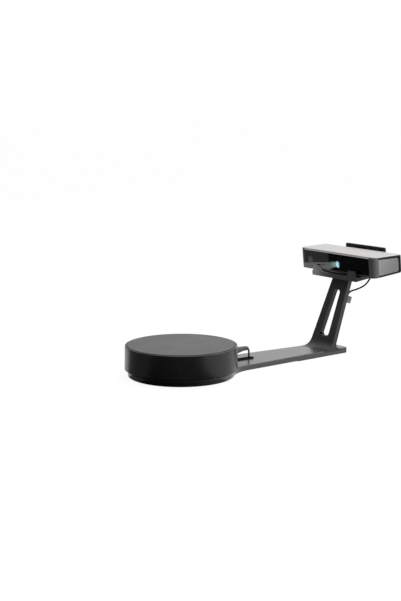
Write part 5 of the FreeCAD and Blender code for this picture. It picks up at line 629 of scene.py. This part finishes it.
# Lamps.  A broad soft box hangs above the object and lights it evenly from over its far side.  A
# square one stands at its right front and brightens the head's near end and the upright's side.
def soft_box(name, place, aim, width, height, watts):
    """A rectangular soft box that stands at place and shines at aim."""
    lamp = bpy.data.lights.new(name, "AREA")
    lamp.shape = "RECTANGLE"
    lamp.size = width
    lamp.size_y = height
    lamp.energy = watts
    box = bpy.data.objects.new(name, lamp)
    box.location = place
    box.rotation_euler = (Vector(aim) - Vector(place)).to_track_quat("-Z", "Y").to_euler()
    scene.collection.objects.link(box)


soft_box("overhead_box", place=(0.35, 0.25, 1.7), aim=(0.2, 0, 0.05), width=1.6, height=1.2, watts=15)
soft_box("right_box", place=(1.5, -1.3, 0.8), aim=(0.25, 0, 0.1), width=0.9, height=1.0, watts=14)


# Cards.  They are what gloss shows of the room, and only glossy rays find them.  The window mirrors
# five: a black one, a dim one at its far end, a lens, a fan of light from the projector, and a pale
# one behind a hook.  The drum mirrors two that darken its front and its left.
def card(name, glow, outline):
    """A card that only glossy rays see, with a glow of its own."""
    face = bpy.data.materials.new(name)
    face.use_nodes = True
    shader = face.node_tree.nodes["Principled BSDF"]
    shader.inputs["Base Color"].default_value = (0.01, 0.01, 0.01, 1)
    shader.inputs["Specular IOR Level"].default_value = 0
    shader.inputs["Emission Color"].default_value = (1, 1, 1, 1)
    shader.inputs["Emission Strength"].default_value = glow
    form = bmesh.new()
    form.faces.new([form.verts.new(spot) for spot in outline])
    mesh = bpy.data.meshes.new(name)
    form.to_mesh(mesh)
    form.free()
    mesh.materials.append(face)
    sheet = bpy.data.objects.new(name, mesh)
    scene.collection.objects.link(sheet)
    for ray in ("camera", "diffuse", "transmission", "volume_scatter", "shadow"):
        setattr(sheet, f"visible_{ray}", False)


def mirrored(level, *spots):
    """Where the camera finds places on the glass, side and height in the head's frame, mirrored at a
    level above the floor."""
    found = []
    for side, height in spots:
        place = head_place @ Vector((0, side, height))
        ray = (place - camera.location).reflect(head_place.to_3x3() @ Vector((1, 0, 0)))
        found.append(place + ray * ((level - place.z) / ray.z))
    return found


lens_middle, lens_half_wide, lens_half_tall, lens_sides = (0.078, 0.0183), 0.007, 0.008, 24
lens_spots = [(lens_middle[0] + lens_half_wide * math.cos(math.tau * step / lens_sides),
               lens_middle[1] + lens_half_tall * math.sin(math.tau * step / lens_sides))
              for step in range(lens_sides)]
card("dark_card", 0.03, mirrored(0.001, (0.12, -0.005), (0.12, 0.06), (-0.12, 0.06), (-0.12, -0.005)))
card("dim_card", 0.45, mirrored(0.002, (0.110, 0.0), (0.110, 0.043), (0.024, 0.043), (0.018, 0.0)))
card("lens_card", 1.3, mirrored(0.003, *lens_spots))
card("beam_card", 2.5, mirrored(0.003, (0.110, -0.002), (0.110, 0.0095), (0.003, 0.0215), (-0.006, 0.0165),
                                (0.036, -0.002)))
card("hook_card", 2.5, [head_place @ Vector((-0.0003, side, height)) for side, height in (
    (0.050, 0.0045), (0.050, 0.0120), (0.024, 0.0120), (0.022, 0.0045))])
card("front_card", 0.0, [(x, y, 0.0008) for x, y in (
    (0, 0), (0.05, -0.11), (0.02, -0.3), (-0.01, -0.6), (-0.10, -1.5), (-1.5, -1.5), (-1.5, -0.1))])
card("left_card", 0.18, [(x, y, 0.0008) for x, y in (
    (0, 0), (-1.5, -0.1), (-1.5, 1.2), (-0.3, 0.9), (-0.15, 0.21), (-0.1, 0.05))])


scene.view_settings.view_transform = "Standard"
